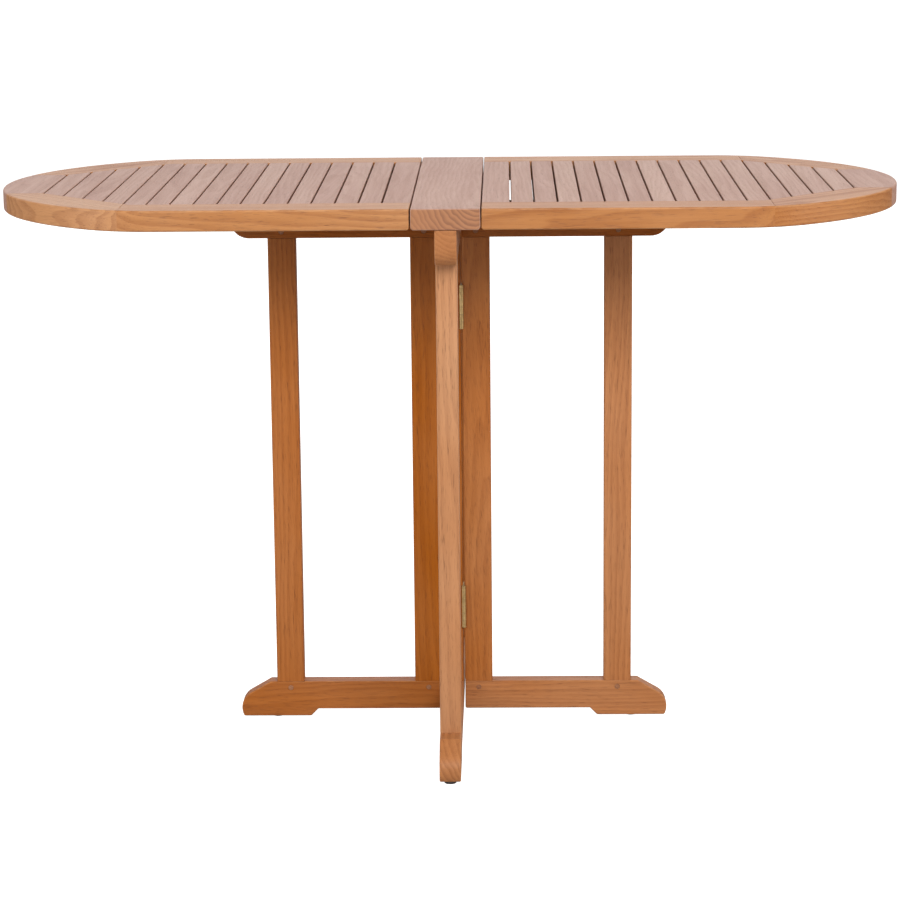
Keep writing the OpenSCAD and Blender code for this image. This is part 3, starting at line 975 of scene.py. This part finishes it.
def cut_out(target: bpy.types.Object, cutters: list[Shell]) -> None:
    """Takes each cutter's shape out of an object.

    Args:
        target: The object, whose mesh is replaced by the cut one.
        cutters: Closed surfaces in the frame's coordinates.
    """
    if not cutters:
        return
    tools = [mesh_object("cutter", shell) for shell in cutters]
    for tool in tools:
        cut = target.modifiers.new("cut", "BOOLEAN")
        cut.operation, cut.solver, cut.object = "DIFFERENCE", "EXACT", tool
    graph = bpy.context.evaluated_depsgraph_get()
    result = bpy.data.meshes.new_from_object(target.evaluated_get(graph))
    target.modifiers.clear()
    old, target.data = target.data, result
    bpy.data.meshes.remove(old)
    for tool in tools:
        mesh = tool.data
        bpy.data.objects.remove(tool)
        bpy.data.meshes.remove(mesh)


@dataclass
class Piece:
    """One visible piece: its shape, its finish and what it stands for."""

    name: str
    shell: Shell
    finish: Finish
    body: str
    nodes: tuple[str, ...]
    along: Point = ALONG_Z
    cutters: list[Shell] = field(default_factory=list)

    @classmethod
    def timber(cls, name: str, shell: Shell, finish: Finish, body: str, along: Point,
               cutters: Iterable[Shell] = (), side: Side = Side.RIGHT) -> "Piece":
        """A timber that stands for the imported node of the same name.

        Args:
            name: The node's name.
            shell: Its shape, drawn for the right-hand side.
            finish: Its finish.
            body: The body it rides on.
            along: The way its grain runs.
            cutters: Shapes taken out of it, drawn for the right-hand side.
            side: The side it belongs to.

        Returns:
            The piece.
        """
        return cls(f"{name}_timber", shell.on(side), finish, body, (name,), along,
                   [cutter.on(side) for cutter in cutters])

    def store_grain(self, mesh: bpy.types.Mesh) -> None:
        """Stores each point's place in the log, the board's lightness (partly painted light and
        shade), and how far a face is an end.

        The coordinates are the point's projections on the grain and on two axes square to it,
        tilted by a degree or so and shifted by a distance of the board's own. A face is an end
        as far as its normal lies along the grain.

        Args:
            mesh: The finished mesh.
        """
        draw = np.random.default_rng(zlib.crc32(self.name.encode()))
        along = np.array(self.along) / np.linalg.norm(self.along)
        aside = np.cross(along, ALONG_Z if abs(along[2]) < 0.9 else ALONG_Y)
        aside /= np.linalg.norm(aside)
        axes = np.stack([along, aside, np.cross(along, aside)])
        tilt = draw.normal(0.0, GRAIN_TILT, 2)
        axes[0] += tilt[0] * axes[1] + tilt[1] * axes[2]
        axes[1] -= tilt[0] * axes[0]
        axes[2] -= tilt[1] * axes[0]
        turn = draw.uniform(0, 2 * math.pi)
        heart = draw.uniform(*HEART_REACH)
        shift = np.array([draw.uniform(-LOG_HALF, LOG_HALF), heart * math.cos(turn),
                          heart * math.sin(turn)])
        points = np.empty(len(mesh.vertices) * 3, np.float32)
        mesh.vertices.foreach_get("co", points)
        points = points.reshape(-1, 3)
        middle = (points.min(0) + points.max(0)) / 2
        grain = (points - middle) @ axes.T + shift
        mesh.attributes.new(GRAIN, "FLOAT_VECTOR", "POINT").data.foreach_set(
            "vector", grain.astype(np.float32).ravel())
        # Listed lightnesses include painted shade and light for some boards; the others are drawn
        # at random as the wood's own colour.
        drawn = BOARD_TONES_AND_SHADE.get(self.name.removesuffix("_timber"),
                                draw.uniform(-TONE_SPREAD, TONE_SPREAD))
        tone_and_shade_values = np.full(len(points), drawn, np.float32)
        mesh.attributes.new(TONE_AND_SHADE, "FLOAT", "POINT").data.foreach_set("value", tone_and_shade_values)
        normals = np.array([face.normal for face in mesh.polygons])
        ends = np.abs(normals @ along)
        mesh.attributes.new(END_GRAIN, "FLOAT", "FACE").data.foreach_set(
            "value", ends.astype(np.float32))

    def build(self, paints: Paintbox) -> bpy.types.Object:
        """Makes the mesh, dresses it and puts it on its body.

        Args:
            paints: The materials.

        Returns:
            The finished object.
        """
        made = mesh_object(self.name, self.shell)
        cut_out(made, self.cutters)
        mesh = made.data
        self.store_grain(mesh)
        mesh.polygons.foreach_set("use_smooth", np.ones(len(mesh.polygons), bool))
        mesh.set_sharp_from_angle(angle=SHARP_EDGE)
        mesh.materials.clear()
        mesh.materials.append(paints.material(self.finish))
        mesh.polygons.foreach_set("material_index", np.zeros(len(mesh.polygons), np.int32))
        mesh.update()
        even = made.modifiers.new("flat_faces", "WEIGHTED_NORMAL")
        even.keep_sharp = True
        even.weight = 100
        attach(made, self.body)
        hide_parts(*self.nodes)
        LOG.info("%s: %d faces, rides on %s", self.name, len(mesh.polygons), self.body)
        return made


@dataclass(frozen=True)
class HingePlaces:
    """Where the hinges sit, and the room they take in the timber."""

    gate_pin: tuple[float, float] = (0.015, -0.0135)
    gate_heights: tuple[float, float] = (0.1595, 0.580)
    gate_half_gap: float = 0.001
    leaf_pin: tuple[float, float] = (0.0447, 0.7265)
    leaf_reach: float = 0.150
    half_length: float = 0.0301
    plate_w: float = 0.0201
    sunk: float = 0.0011
    leaf_sunk: float = 0.0022
    knuckle_room: float = 0.0036

    def gate_cuts(self, gate_side: bool) -> list[Shell]:
        """Recesses for the right gate's hinges in a gate post or in the middle post.

        Args:
            gate_side: True for the gate's post, False for the middle post.

        Returns:
            A slot for the plate and a round hollow for the knuckles at each height.
        """
        x, y = self.gate_pin
        depth = self.gate_half_gap + self.sunk
        low_x, high_x = (x, x + depth) if gate_side else (x - depth, x)
        cuts = []
        for z in self.gate_heights:
            cuts.append(block((low_x, y - PAST, z - self.half_length),
                              (high_x, y + self.plate_w, z + self.half_length)))
            cuts.append(rod((x, y, z), self.knuckle_room, 2 * self.half_length, Lie.PLAN))
        return cuts

    def leaf_cuts(self, leaf_side: bool, under: float) -> list[Shell]:
        """Recesses for the right leaf's hinges in the hinge board or in the centre board.

        Args:
            leaf_side: True for the leaf's hinge board, False for the centre board.
            under: Height of the top's underside.

        Returns:
            A slot for the plate and a round hollow for the knuckles of each hinge.
        """
        x, z = self.leaf_pin
        reach = self.plate_w if leaf_side else -self.plate_w
        low_x, high_x = sorted((x, x + reach))
        cuts = []
        for y in (-self.leaf_reach, self.leaf_reach):
            cuts.append(block((low_x, y - self.half_length, under - PAST),
                              (high_x, y + self.half_length, under + self.leaf_sunk)))
            cuts.append(rod((x, y, z), self.knuckle_room, 2 * self.half_length, Lie.FRONT))
        return cuts


class Top:
    """The oval top: a fixed centre board and two leaves."""

    def __init__(self, sizes: TopSizes, hinges: HingePlaces) -> None:
        """Keeps the sizes and the hinges' places."""
        self.sizes = sizes
        self.hinges = hinges

    def centre_board(self) -> Piece:
        """The centre board, with a bevel under each long edge and hinge recesses below.

        Returns:
            The piece.
        """
        z = self.sizes
        outline = Outline.of(
            [(-z.board_half + z.under_bevel, z.under), (z.board_half - z.under_bevel, z.under),
             (z.board_half, z.under + z.under_bevel), (z.board_half, z.top),
             (-z.board_half, z.top), (-z.board_half, z.under + z.under_bevel)],
            z.slat_ease).rounded()
        shell = eased_prism(outline, -z.half_w, z.half_w, Lie.FRONT)
        cuts = self.hinges.leaf_cuts(False, z.under)
        cuts += [cut.on(Side.LEFT) for cut in cuts]
        return Piece.timber("centre_board", shell, Finish.TOP, "root", ALONG_Y, cuts)

    def leaf(self, side: Side) -> list[Piece]:
        """All timber pieces of one leaf."""
        return Leaf(self.sizes, self.hinges, side).pieces()


class Leaf:
    """One half of the oval top: a hinge board, slats and the rim round them."""

    def __init__(self, sizes: TopSizes, hinges: HingePlaces, side: Side) -> None:
        """Keeps the sizes, the hinges' places and the side."""
        self.sizes = sizes
        self.hinges = hinges
        self.side = side

    def pieces(self) -> list[Piece]:
        """All timber pieces of the leaf.

        Returns:
            The hinge board, the end piece, the slats, the rim's rails and its corners.
        """
        return [self.hinge_board(), self.end_piece(), *self.slats(),
                *(self.rim_rail(edge) for edge in Edge),
                *(self.rim_corner(edge) for edge in Edge)]

    def flat(self, outline: Outline) -> Shell:
        """The outline made as thick as the top."""
        return eased_prism(outline, self.sizes.under, self.sizes.top)

    def edged(self, edge: Edge, outline: Outline) -> Outline:
        """The outline drawn for +Y, mirrored if the piece lies at -Y on the right-hand side."""
        return outline if edge.value * self.side.value > 0 else outline.mirrored()

    def timber(self, what: str, shell: Shell, finish: Finish, along: Point,
               cutters: Iterable[Shell] = ()) -> Piece:
        """A timber of this leaf, drawn for the right-hand side."""
        return Piece.timber(f"{self.side.word}_{what}", shell, finish, self.side.leaf, along,
                            cutters, self.side)

    def hinge_board(self) -> Piece:
        """The narrow board between the two rails at the leaf's hinges.

        Returns:
            The piece.
        """
        z = self.sizes
        outline = Outline.of(
            [(z.leaf_x0 + z.under_bevel, z.under), (z.field_x0, z.under), (z.field_x0, z.top),
             (z.leaf_x0, z.top), (z.leaf_x0, z.under + z.under_bevel)],
            z.slat_ease).rounded()
        shell = eased_prism(outline, -z.field_y, z.field_y, Lie.FRONT)
        return self.timber("hinge_board", shell, Finish.TOP, ALONG_Y,
                           self.hinges.leaf_cuts(True, z.under))

    def bevel_cutter(self) -> Shell:
        """The wedge that bevels the rails' lower ends at the gap, for the right-hand leaf.

        Returns:
            The closed surface.
        """
        z = self.sizes
        x, low, run, end = z.leaf_x0, z.under - PAST, z.under_bevel + PAST, z.half_w + PAST
        wedge = [(x - PAST, low), (x + run, low), (x - PAST, z.under + run)]
        rings = np.array([[(u, v, w) for u, v in wedge] for w in (-end, end)])
        return stacked(rings).turned(Lie.FRONT.turn)

    def rim_rail(self, edge: Edge) -> Piece:
        """A straight rail of the rim, from the gap to the corner piece.

        Args:
            edge: The table's edge that it runs along.

        Returns:
            The piece.
        """
        z = self.sizes
        bend = arc(z.blend_cx, z.blend_cy, z.blend_r, z.rim_joint_angle, math.pi / 2, steps=7)
        outline = Outline.of(
            [(z.leaf_x0, z.field_y), (z.field_corner[0], z.field_y),
             (z.rim_joint_x, z.slant - z.rim_joint_x), *bend, (z.leaf_x0, z.half_w)],
            [z.joint_ease] * 3 + [z.rim_ease] * len(bend) + [z.slat_ease])
        return self.timber(f"{edge.word}_rail", self.flat(self.edged(edge, outline.rounded())),
                           Finish.RIM, ALONG_X, [self.bevel_cutter()])

    def rim_corner(self, edge: Edge) -> Piece:
        """A corner of the rim: slanted inside, and outside the end arc and the blend arc.

        Args:
            edge: The table's edge that it bends from.

        Returns:
            The piece.
        """
        z = self.sizes
        end = arc(z.end_cx, 0, z.end_r, z.end_joint_angle, z.blend_angle, steps=16)
        blend = arc(z.blend_cx, z.blend_cy, z.blend_r, z.blend_angle, z.rim_joint_angle, steps=8)
        points = [(z.rim_joint_x, z.slant - z.rim_joint_x), (z.field_x1, z.field_corner[1]),
                  *end, *blend[1:]]
        eases = [z.joint_ease] * 2 + [z.rim_ease] * (len(points) - 3) + [z.joint_ease]
        shell = self.flat(self.edged(edge, Outline.of(points, eases)))
        return self.timber(f"{edge.word}_corner", shell, Finish.RIM,
                           (1, -edge.value * self.side.value, 0))

    def end_piece(self) -> Piece:
        """The piece at the tip of the oval, between the two corners.

        Returns:
            The piece.
        """
        z = self.sizes
        tip = arc(z.end_cx, 0, z.end_r, -z.end_joint_angle, z.end_joint_angle, steps=24)
        points = [(z.field_x1, -z.field_corner[1]), *tip, (z.field_x1, z.field_corner[1])]
        eases = [z.joint_ease] + [z.rim_ease] * (len(tip) - 1) + [z.joint_ease, z.slat_ease]
        return self.timber("end_piece", self.flat(Outline.of(points, eases)), Finish.TOP,
                           ALONG_Y)

    def slats(self) -> list[Piece]:
        """The slats; the last ones are cut to the slanted corners.

        Returns:
            The slats, numbered from the hinge board.
        """
        z = self.sizes
        made = []
        for number in range(1, z.slat_count + 1):
            x0 = z.field_x0 + z.slat_gap + (number - 1) * (z.slat_w + z.slat_gap)
            x1 = x0 + z.slat_w
            ends = [x for x in (x0, z.field_corner[0], x1) if x0 <= x <= x1]
            top_side = [(x, min(z.field_y, z.slant - x)) for x in ends]
            points = [(x, -y) for x, y in top_side] + top_side[::-1]
            eases = ([z.joint_ease] * (len(ends) - 1) + [z.slat_ease]) * 2
            slat = self.timber(f"slat_{number:02d}", self.flat(Outline.of(points, eases)),
                               Finish.TOP, ALONG_Y)
            if number <= z.slat_count - z.shaped_slats:
                slat.nodes = (f"{self.side.word}_inner_slats",)
            made.append(slat)
        return made


class Frame:
    """The standing centre frame and the two gates that swing from its middle post."""

    def __init__(self, sizes: FrameSizes, hinges: HingePlaces, under: float) -> None:
        """Keeps the sizes, the hinges' places and the height of the top's underside."""
        self.sizes = sizes
        self.hinges = hinges
        self.under = under
        self.board_screw_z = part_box("board_screws")[0].z
        far_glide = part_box("centre_glides")[1]
        self.glide_r = far_glide.x
        self.glide_y = far_glide.y - far_glide.x

    def foot_outline(self, inner: float) -> Outline:
        """Side view of half a foot rail, from its inner end to its nose.

        The underside steps down from the hollow to the pad, the nose is an arc, and its
        tangent slopes up to the top edge.

        Args:
            inner: Where the half begins.

        Returns:
            The outline, whose last two edges are the top edge and the inner end.
        """
        z = self.sizes
        nose, low = ((z.centre_nose, z.foot_bottom) if inner <= 0
                     else (z.gate_nose, z.gate_foot_bottom))
        high = z.foot_top
        toe = -math.asin(z.nose_z / z.nose_r)
        round_nose = arc(nose - z.nose_r, low + z.nose_z, z.nose_r, toe,
                         math.pi / 2 - z.foot_slope, steps=18)
        slope_x = round_nose[-1][0] - (high - round_nose[-1][1]) / math.tan(z.foot_slope)
        pad = nose - z.foot_pad
        return Outline.of([(inner, low + z.foot_raise), (pad - z.foot_raise, low + z.foot_raise),
                           (pad, low), *round_nose, (slope_x, high), (inner, high)], z.arris)

    def top_rail_outline(self, inner: float, high: float) -> Outline:
        """Side view of half a top rail, with its lower outer corner rounded.

        Args:
            inner: Where the half begins.
            high: Height of its top edge.

        Returns:
            The outline, whose first edge is the underside.
        """
        z = self.sizes
        nose = z.centre_reach if inner <= 0 else z.gate_nose
        corner = arc(nose - z.nose_r, z.top_rail_z + z.nose_r, z.nose_r, -math.pi / 2, 0,
                     steps=12)
        return Outline.of([(inner, z.top_rail_z), *corner, (nose, high), (inner, high)], z.arris)

    def both_ways(self, half: Outline) -> Outline:
        """Joins the half outline, begun at 0, with its mirror image.

        Args:
            half: An outline whose first and last points lie at 0 on the first axis.

        Returns:
            The whole outline, begun at the same first edge.
        """
        points, eases = half.points[1:-1], half.eases[1:-1]
        mirror = (points * (-1, 1))[::-1]
        whole = np.concatenate([points, mirror])
        back = np.concatenate([eases[:-1][::-1], eases[:1]])
        return Outline(whole, np.concatenate([eases, back])[:len(whole)])

    def post(self, name: str, body: str, place: tuple[float, float],
             half: tuple[float, float], side: Side = Side.RIGHT,
             cutters: Iterable[Shell] = ()) -> Piece:
        """An upright with eased arrises and crisp shoulders, between the rails.

        Args:
            name: The node it stands for.
            body: The body it rides on.
            place: Its middle on X and Y, drawn for the right-hand side.
            half: Half its widths on X and Y.
            side: The side it belongs to.
            cutters: Shapes taken out of it.

        Returns:
            The piece.
        """
        z = self.sizes
        (x, y), (a, b) = place, half
        corners = [(x - a, y - b), (x + a, y - b), (x + a, y + b), (x - a, y + b)]
        section = Outline.of(corners, z.arris).rounded()
        section = replace(section, eases=np.full(len(section.points), z.shoulder))
        shell = eased_prism(section, z.foot_top, z.top_rail_z)
        return Piece.timber(name, shell, Finish.FRAME, body, ALONG_Z, cutters, side)

    def plug(self, at: Point, half: float, lie: Lie) -> Shell:
        """A pin through a tenon, its ends a hair proud of the faces and slightly rounded.

        Args:
            at: Its middle.
            half: Half the rail's thickness.
            lie: The view the rail is drawn in.

        Returns:
            The closed surface.
        """
        r, soft = self.sizes.dowel_r, self.sizes.dowel_soft
        face, crown = half + self.sizes.dowel_proud, half + self.sizes.dowel_proud * 1.6
        profile = [(0.001, -crown), (r - soft, -face), (r, -half + soft),
                   (r, half - soft), (r - soft, face), (0.001, crown)]
        return lathe(profile, 32).turned(lie.turn).moved(*at)

    def rails(self, base: str, body: str, foot: Outline, top: Outline, half: float,
              places: list[tuple[float, float]], lie: Lie, side: Side = Side.RIGHT,
              bores: Iterable[Shell] = ()) -> list[Piece]:
        """The two rails of a frame, and the pins through the posts' tenons in them.

        Args:
            base: What the names of their nodes begin with.
            body: The body they ride on.
            foot: Side view of the foot rail.
            top: Side view of the top rail.
            half: Half their thickness.
            places: Middles of the posts on X and Y.
            lie: The view the rails are drawn in: FRONT runs them along X, SIDE along Y.
            side: The side they belong to.
            bores: Further holes in the top rail.

        Returns:
            The foot rail, the top rail and the pins.
        """
        z = self.sizes
        along, across = (ALONG_X, ALONG_Y) if lie is Lie.FRONT else (ALONG_Y, ALONG_X)
        made = []
        for kind, outline, height, more in (("foot_rail", foot, z.dowel_heights[0], ()),
                                            ("top_rail", top, z.dowel_heights[1], bores)):
            holes = [rod((x, y, height), z.dowel_r + z.dowel_room, z.dowel_hole, lie)
                     for x, y in places]
            made.append(Piece.timber(f"{base}_{kind}", eased_prism(outline, -half, half, lie),
                                     Finish.FRAME, body, along, [*holes, *more], side))
        pins = joined([self.plug((x, y, height), half, lie)
                       for x, y in places for height in z.dowel_heights])
        return [*made, Piece(f"{base}_plugs", pins.on(side), Finish.DOWEL, body,
                             (f"{base}_dowels",), across)]

    def centre(self) -> list[Piece]:
        """The centre frame.

        Returns:
            Its rails, posts, pins and glides.
        """
        z = self.sizes
        ys = (-z.post_y, 0.0, z.post_y)
        halves = (z.post_w / 2, z.gate_half, z.post_w / 2)
        spans = [(y - half, y + half) for y, half in zip(ys, halves)]
        foot = self.both_ways(self.foot_outline(0.0))
        foot = foot.stopped(int(np.argmax(foot.points[:, 1])), spans, z.shoulder).rounded()
        top = self.both_ways(self.top_rail_outline(0.0, self.under))
        top = top.stopped(len(top.points) - 1, spans, z.shoulder).rounded()
        near, far = z.board_screw_y
        bores = [rod((0.0, y, self.board_screw_z - z.screw_bore_drop), z.screw_bore_r,
                     z.screw_bore, Lie.PLAN) for y in (-far, -near, near, far)]
        hinge_cuts = self.hinges.gate_cuts(False)
        hinge_cuts += [cut.on(Side.LEFT) for cut in hinge_cuts]
        glides = [self.glide(0.0, y, z.foot_bottom) for y in (-self.glide_y, self.glide_y)]
        *rails, pins = self.rails("centre", "root", foot, top, z.frame_half,
                                  [(0.0, y) for y in ys], Lie.SIDE, bores=bores)
        posts = [self.post(f"{word}_post", "root", (0.0, y), (z.frame_half, half), cutters=cuts)
                 for word, y, half, cuts in (("front", ys[0], halves[0], ()),
                                             ("rear", ys[2], halves[2], ()),
                                             ("middle", ys[1], halves[1], hinge_cuts))]
        return [
            *rails, *posts, pins,
            Piece("centre_glides_moulded", joined(glides), Finish.GLIDE, "root",
                  ("centre_glides",)),
        ]

    def glide(self, x: float, y: float, high: float) -> Shell:
        """A round glide with a rounded lower edge.

        Args:
            x: X of its middle.
            y: Y of its middle.
            high: Its height.

        Returns:
            The closed surface.
        """
        r, soft, arris = self.glide_r, self.sizes.glide_soft * high, 0.0004
        lower = [(r - soft + soft * math.sin(t), soft - soft * math.cos(t))
                 for t in np.linspace(0, math.pi / 2, 5)]
        return lathe([(r * 0.5, 0.0), *lower, (r, high - arris), (r - arris, high)]).moved(x, y)

    def gate(self, side: Side) -> list[Piece]:
        """One gate.

        Args:
            side: The gate.

        Returns:
            Its rails, posts, pins and glide.
        """
        z, body = self.sizes, side.gate
        half = (z.post_w / 2, z.gate_half)
        xs = (z.inner_post_x, z.outer_post_x)
        spans = [(x - half[0], x + half[0]) for x in xs]
        foot = self.foot_outline(z.gate_x0)
        foot = foot.stopped(len(foot.points) - 2, spans, z.shoulder).rounded()
        top = self.top_rail_outline(z.gate_x0, z.gate_top).stopped(0, spans, z.shoulder).rounded()
        low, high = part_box("right_gate_glide")
        *rails, pins = self.rails(body, body, foot, top, z.gate_half, [(x, 0.0) for x in xs],
                                  Lie.FRONT, side)
        return [
            *rails,
            self.post(f"{body}_inner_post", body, (xs[0], 0.0), half, side,
                      self.hinges.gate_cuts(True)),
            self.post(f"{body}_outer_post", body, (xs[1], 0.0), half, side),
            pins,
            Piece(f"{body}_glide_moulded",
                  self.glide((low.x + high.x) / 2, 0.0, z.gate_foot_bottom).on(side),
                  Finish.GLIDE, body, (f"{body}_glide",)),
        ]

    def gate_stop(self, side: Side) -> Piece:
        """The block under a leaf that its gate swings against, with its two screw holes.

        Args:
            side: The leaf.

        Returns:
            The piece.
        """
        z = self.sizes
        low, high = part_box("right_gate_stop")
        outline = Outline.of([(low.x, low.y), (high.x, low.y), (high.x, high.y),
                              (low.x, high.y)], z.stop_ease).rounded()
        middle, reach = (low + high) / 2, (high.x - low.x) / 3
        holes = [rod((middle.x + x, middle.y, low.z), z.stop_bore_r, z.stop_bore, Lie.PLAN)
                 for x in (-reach, reach)]
        return Piece.timber(f"{side.word}_gate_stop", eased_prism(outline, low.z, high.z),
                            Finish.FRAME, side.leaf, ALONG_X, holes, side)


def joined(shells: list[Shell]) -> Shell:
    """Several closed surfaces as one, each one's faces numbered on from the last one's.

    Args:
        shells: The surfaces.

    Returns:
        The joined surface.
    """
    starts = np.cumsum([0] + [len(shell.points) for shell in shells[:-1]])
    faces = [[int(i + start) for i in face]
             for shell, start in zip(shells, starts) for face in shell.faces]
    return Shell(np.concatenate([shell.points for shell in shells]), faces,
                 np.concatenate([shell.wear for shell in shells]))


def dress_hardware(paints: Paintbox) -> None:
    """Gives the hinges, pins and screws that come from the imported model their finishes.

    Args:
        paints: The materials.
    """
    for name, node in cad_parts.items():
        if "screws" in name:
            finish = Finish.STEEL
        elif "plates" in name or "pins" in name:
            finish = Finish.BRASS
        else:
            continue
        node.data.materials.clear()
        node.data.materials.append(paints.material(finish))
        LOG.info("%s: packed node in %s", name, finish.value.name)


# ---------------------------------------------------------------- studio


@dataclass(frozen=True)
class Lamp:
    """A soft rectangular light that the camera does not see."""

    name: str
    at: Point
    aim: Point
    size: tuple[float, float]
    watts: float

    def place(self) -> None:
        """Puts the light into the scene, turned to its aim."""
        lamp = bpy.data.lights.new(self.name, "AREA")
        lamp.shape = "RECTANGLE"
        lamp.size, lamp.size_y, lamp.energy = *self.size, self.watts
        made = bpy.data.objects.new(self.name, lamp)
        made.visible_camera = False
        made.location = self.at
        ray = Vector(self.aim) - Vector(self.at)
        made.rotation_euler = ray.to_track_quat("-Z", "Y").to_euler()
        bpy.context.scene.collection.objects.link(made)


MIDDLE: Point = (0.0, 0.0, 0.5)
LAMPS = (
    Lamp("key", (0.8, -4.0, 2.9), MIDDLE, (3.0, 2.0), 182.0),
    Lamp("fill_left", (-3.4, -1.7, 1.5), MIDDLE, (1.8, 1.8), 72.0),
    Lamp("fill_right", (3.4, -1.3, 1.5), MIDDLE, (1.8, 1.8), 55.0),
    Lamp("overhead", (0.0, 0.3, 3.6), (0.0, 0.0, 0.75), (3.2, 2.4), 28.0),
    Lamp("backdrop", (0.0, 5.0, 3.2), (0.0, 0.0, 0.9), (8.0, 4.8), 160.0),
)


@dataclass(frozen=True)
class Studio:
    """A pale floor, soft light from the front and above, and the camera."""

    lens: float = 114.91
    sensor: float = 36.0
    clip: tuple[float, float] = (0.05, 60.0)
    camera_at: Point = (0.07498, -3.90022, 1.20447)
    yaw: float = -0.01900
    pitch: float = 0.20985
    roll: float = -0.00941
    white: Colour = (1.0, 1.0, 1.0)
    ambient: Colour = (0.20, 0.20, 0.20)
    floor_r: float = 40.0
    floor_dark: Colour = (0.50, 0.50, 0.50)
    floor_pale: Colour = (0.54, 0.54, 0.54)

    def floor(self) -> None:
        """A flat round floor that the camera sees evenly white, as a lit backdrop is."""
        disc = lathe([(self.floor_r, -0.02), (self.floor_r, 0.0)], 96)
        made = mesh_object("studio_floor", disc)
        material, s, shader = start_material("floor_paint")
        seen = s.add("ShaderNodeLightPath").outputs["Is Camera Ray"]
        s.feed(shader, {
            "Base Color": s.mix(s.noise(s.place(), 1.3, 3.0), self.floor_dark, self.floor_pale),
            "Roughness": 0.8, "Specular IOR Level": 0.15, "Emission Strength": 1.0,
            "Emission Color": s.mix(seen, (0.0, 0.0, 0.0), self.white)})
        made.data.materials.append(material)

    def world(self) -> None:
        """A surround that is white to look at and gives less light than it shows."""
        world = bpy.data.worlds.new("studio_white")
        world.use_nodes = True
        sheet = NodeSheet(world.node_tree)
        seen = sheet.add("ShaderNodeLightPath").outputs["Is Camera Ray"]
        sheet.feed(world.node_tree.nodes["Background"],
                   {"Color": sheet.mix(seen, self.ambient, self.white), "Strength": 1.0})
        bpy.context.scene.world = world

    def camera(self) -> None:
        """The camera, turned by its yaw, then its pitch down, then its roll."""
        ahead = Vector((math.sin(self.yaw), math.cos(self.yaw), 0))
        right = Vector((math.cos(self.yaw), -math.sin(self.yaw), 0))
        high = Vector((0, 0, 1))
        forward = ahead * math.cos(self.pitch) - high * math.sin(self.pitch)
        upward = high * math.cos(self.pitch) + ahead * math.sin(self.pitch)
        across = right * math.cos(self.roll) + upward * math.sin(self.roll)
        upright = upward * math.cos(self.roll) - right * math.sin(self.roll)
        lens = bpy.data.cameras.new("camera")
        lens.lens, lens.sensor_width = self.lens, self.sensor
        lens.clip_start, lens.clip_end = self.clip
        made = bpy.data.objects.new("camera", lens)
        turn = Matrix((across, upright, -forward)).transposed()
        made.matrix_world = Matrix.Translation(self.camera_at) @ turn.to_4x4()
        bpy.context.scene.collection.objects.link(made)
        bpy.context.scene.camera = made

    def build(self) -> None:
        """Sets up the floor, the surround, the lights and the camera."""
        self.floor()
        self.world()
        for lamp in LAMPS:
            lamp.place()
        self.camera()
        bpy.context.scene.view_settings.view_transform = "Standard"


def main() -> None:
    """Builds the table and its studio."""
    logging.basicConfig(level=logging.INFO, format="%(name)s: %(message)s")
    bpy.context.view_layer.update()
    paints = Paintbox()
    hinges = HingePlaces()
    top = Top(TopSizes.from_frame(), hinges)
    under_frame = Frame(FrameSizes.from_frame(), hinges, top.sizes.under)
    pieces = [top.centre_board(), *under_frame.centre()]
    for side in Side:
        pieces += [*top.leaf(side), *under_frame.gate(side), under_frame.gate_stop(side)]
    for piece in pieces:
        piece.build(paints)
    dress_hardware(paints)
    Studio().build()


if __name__ == "__main__":
    main()
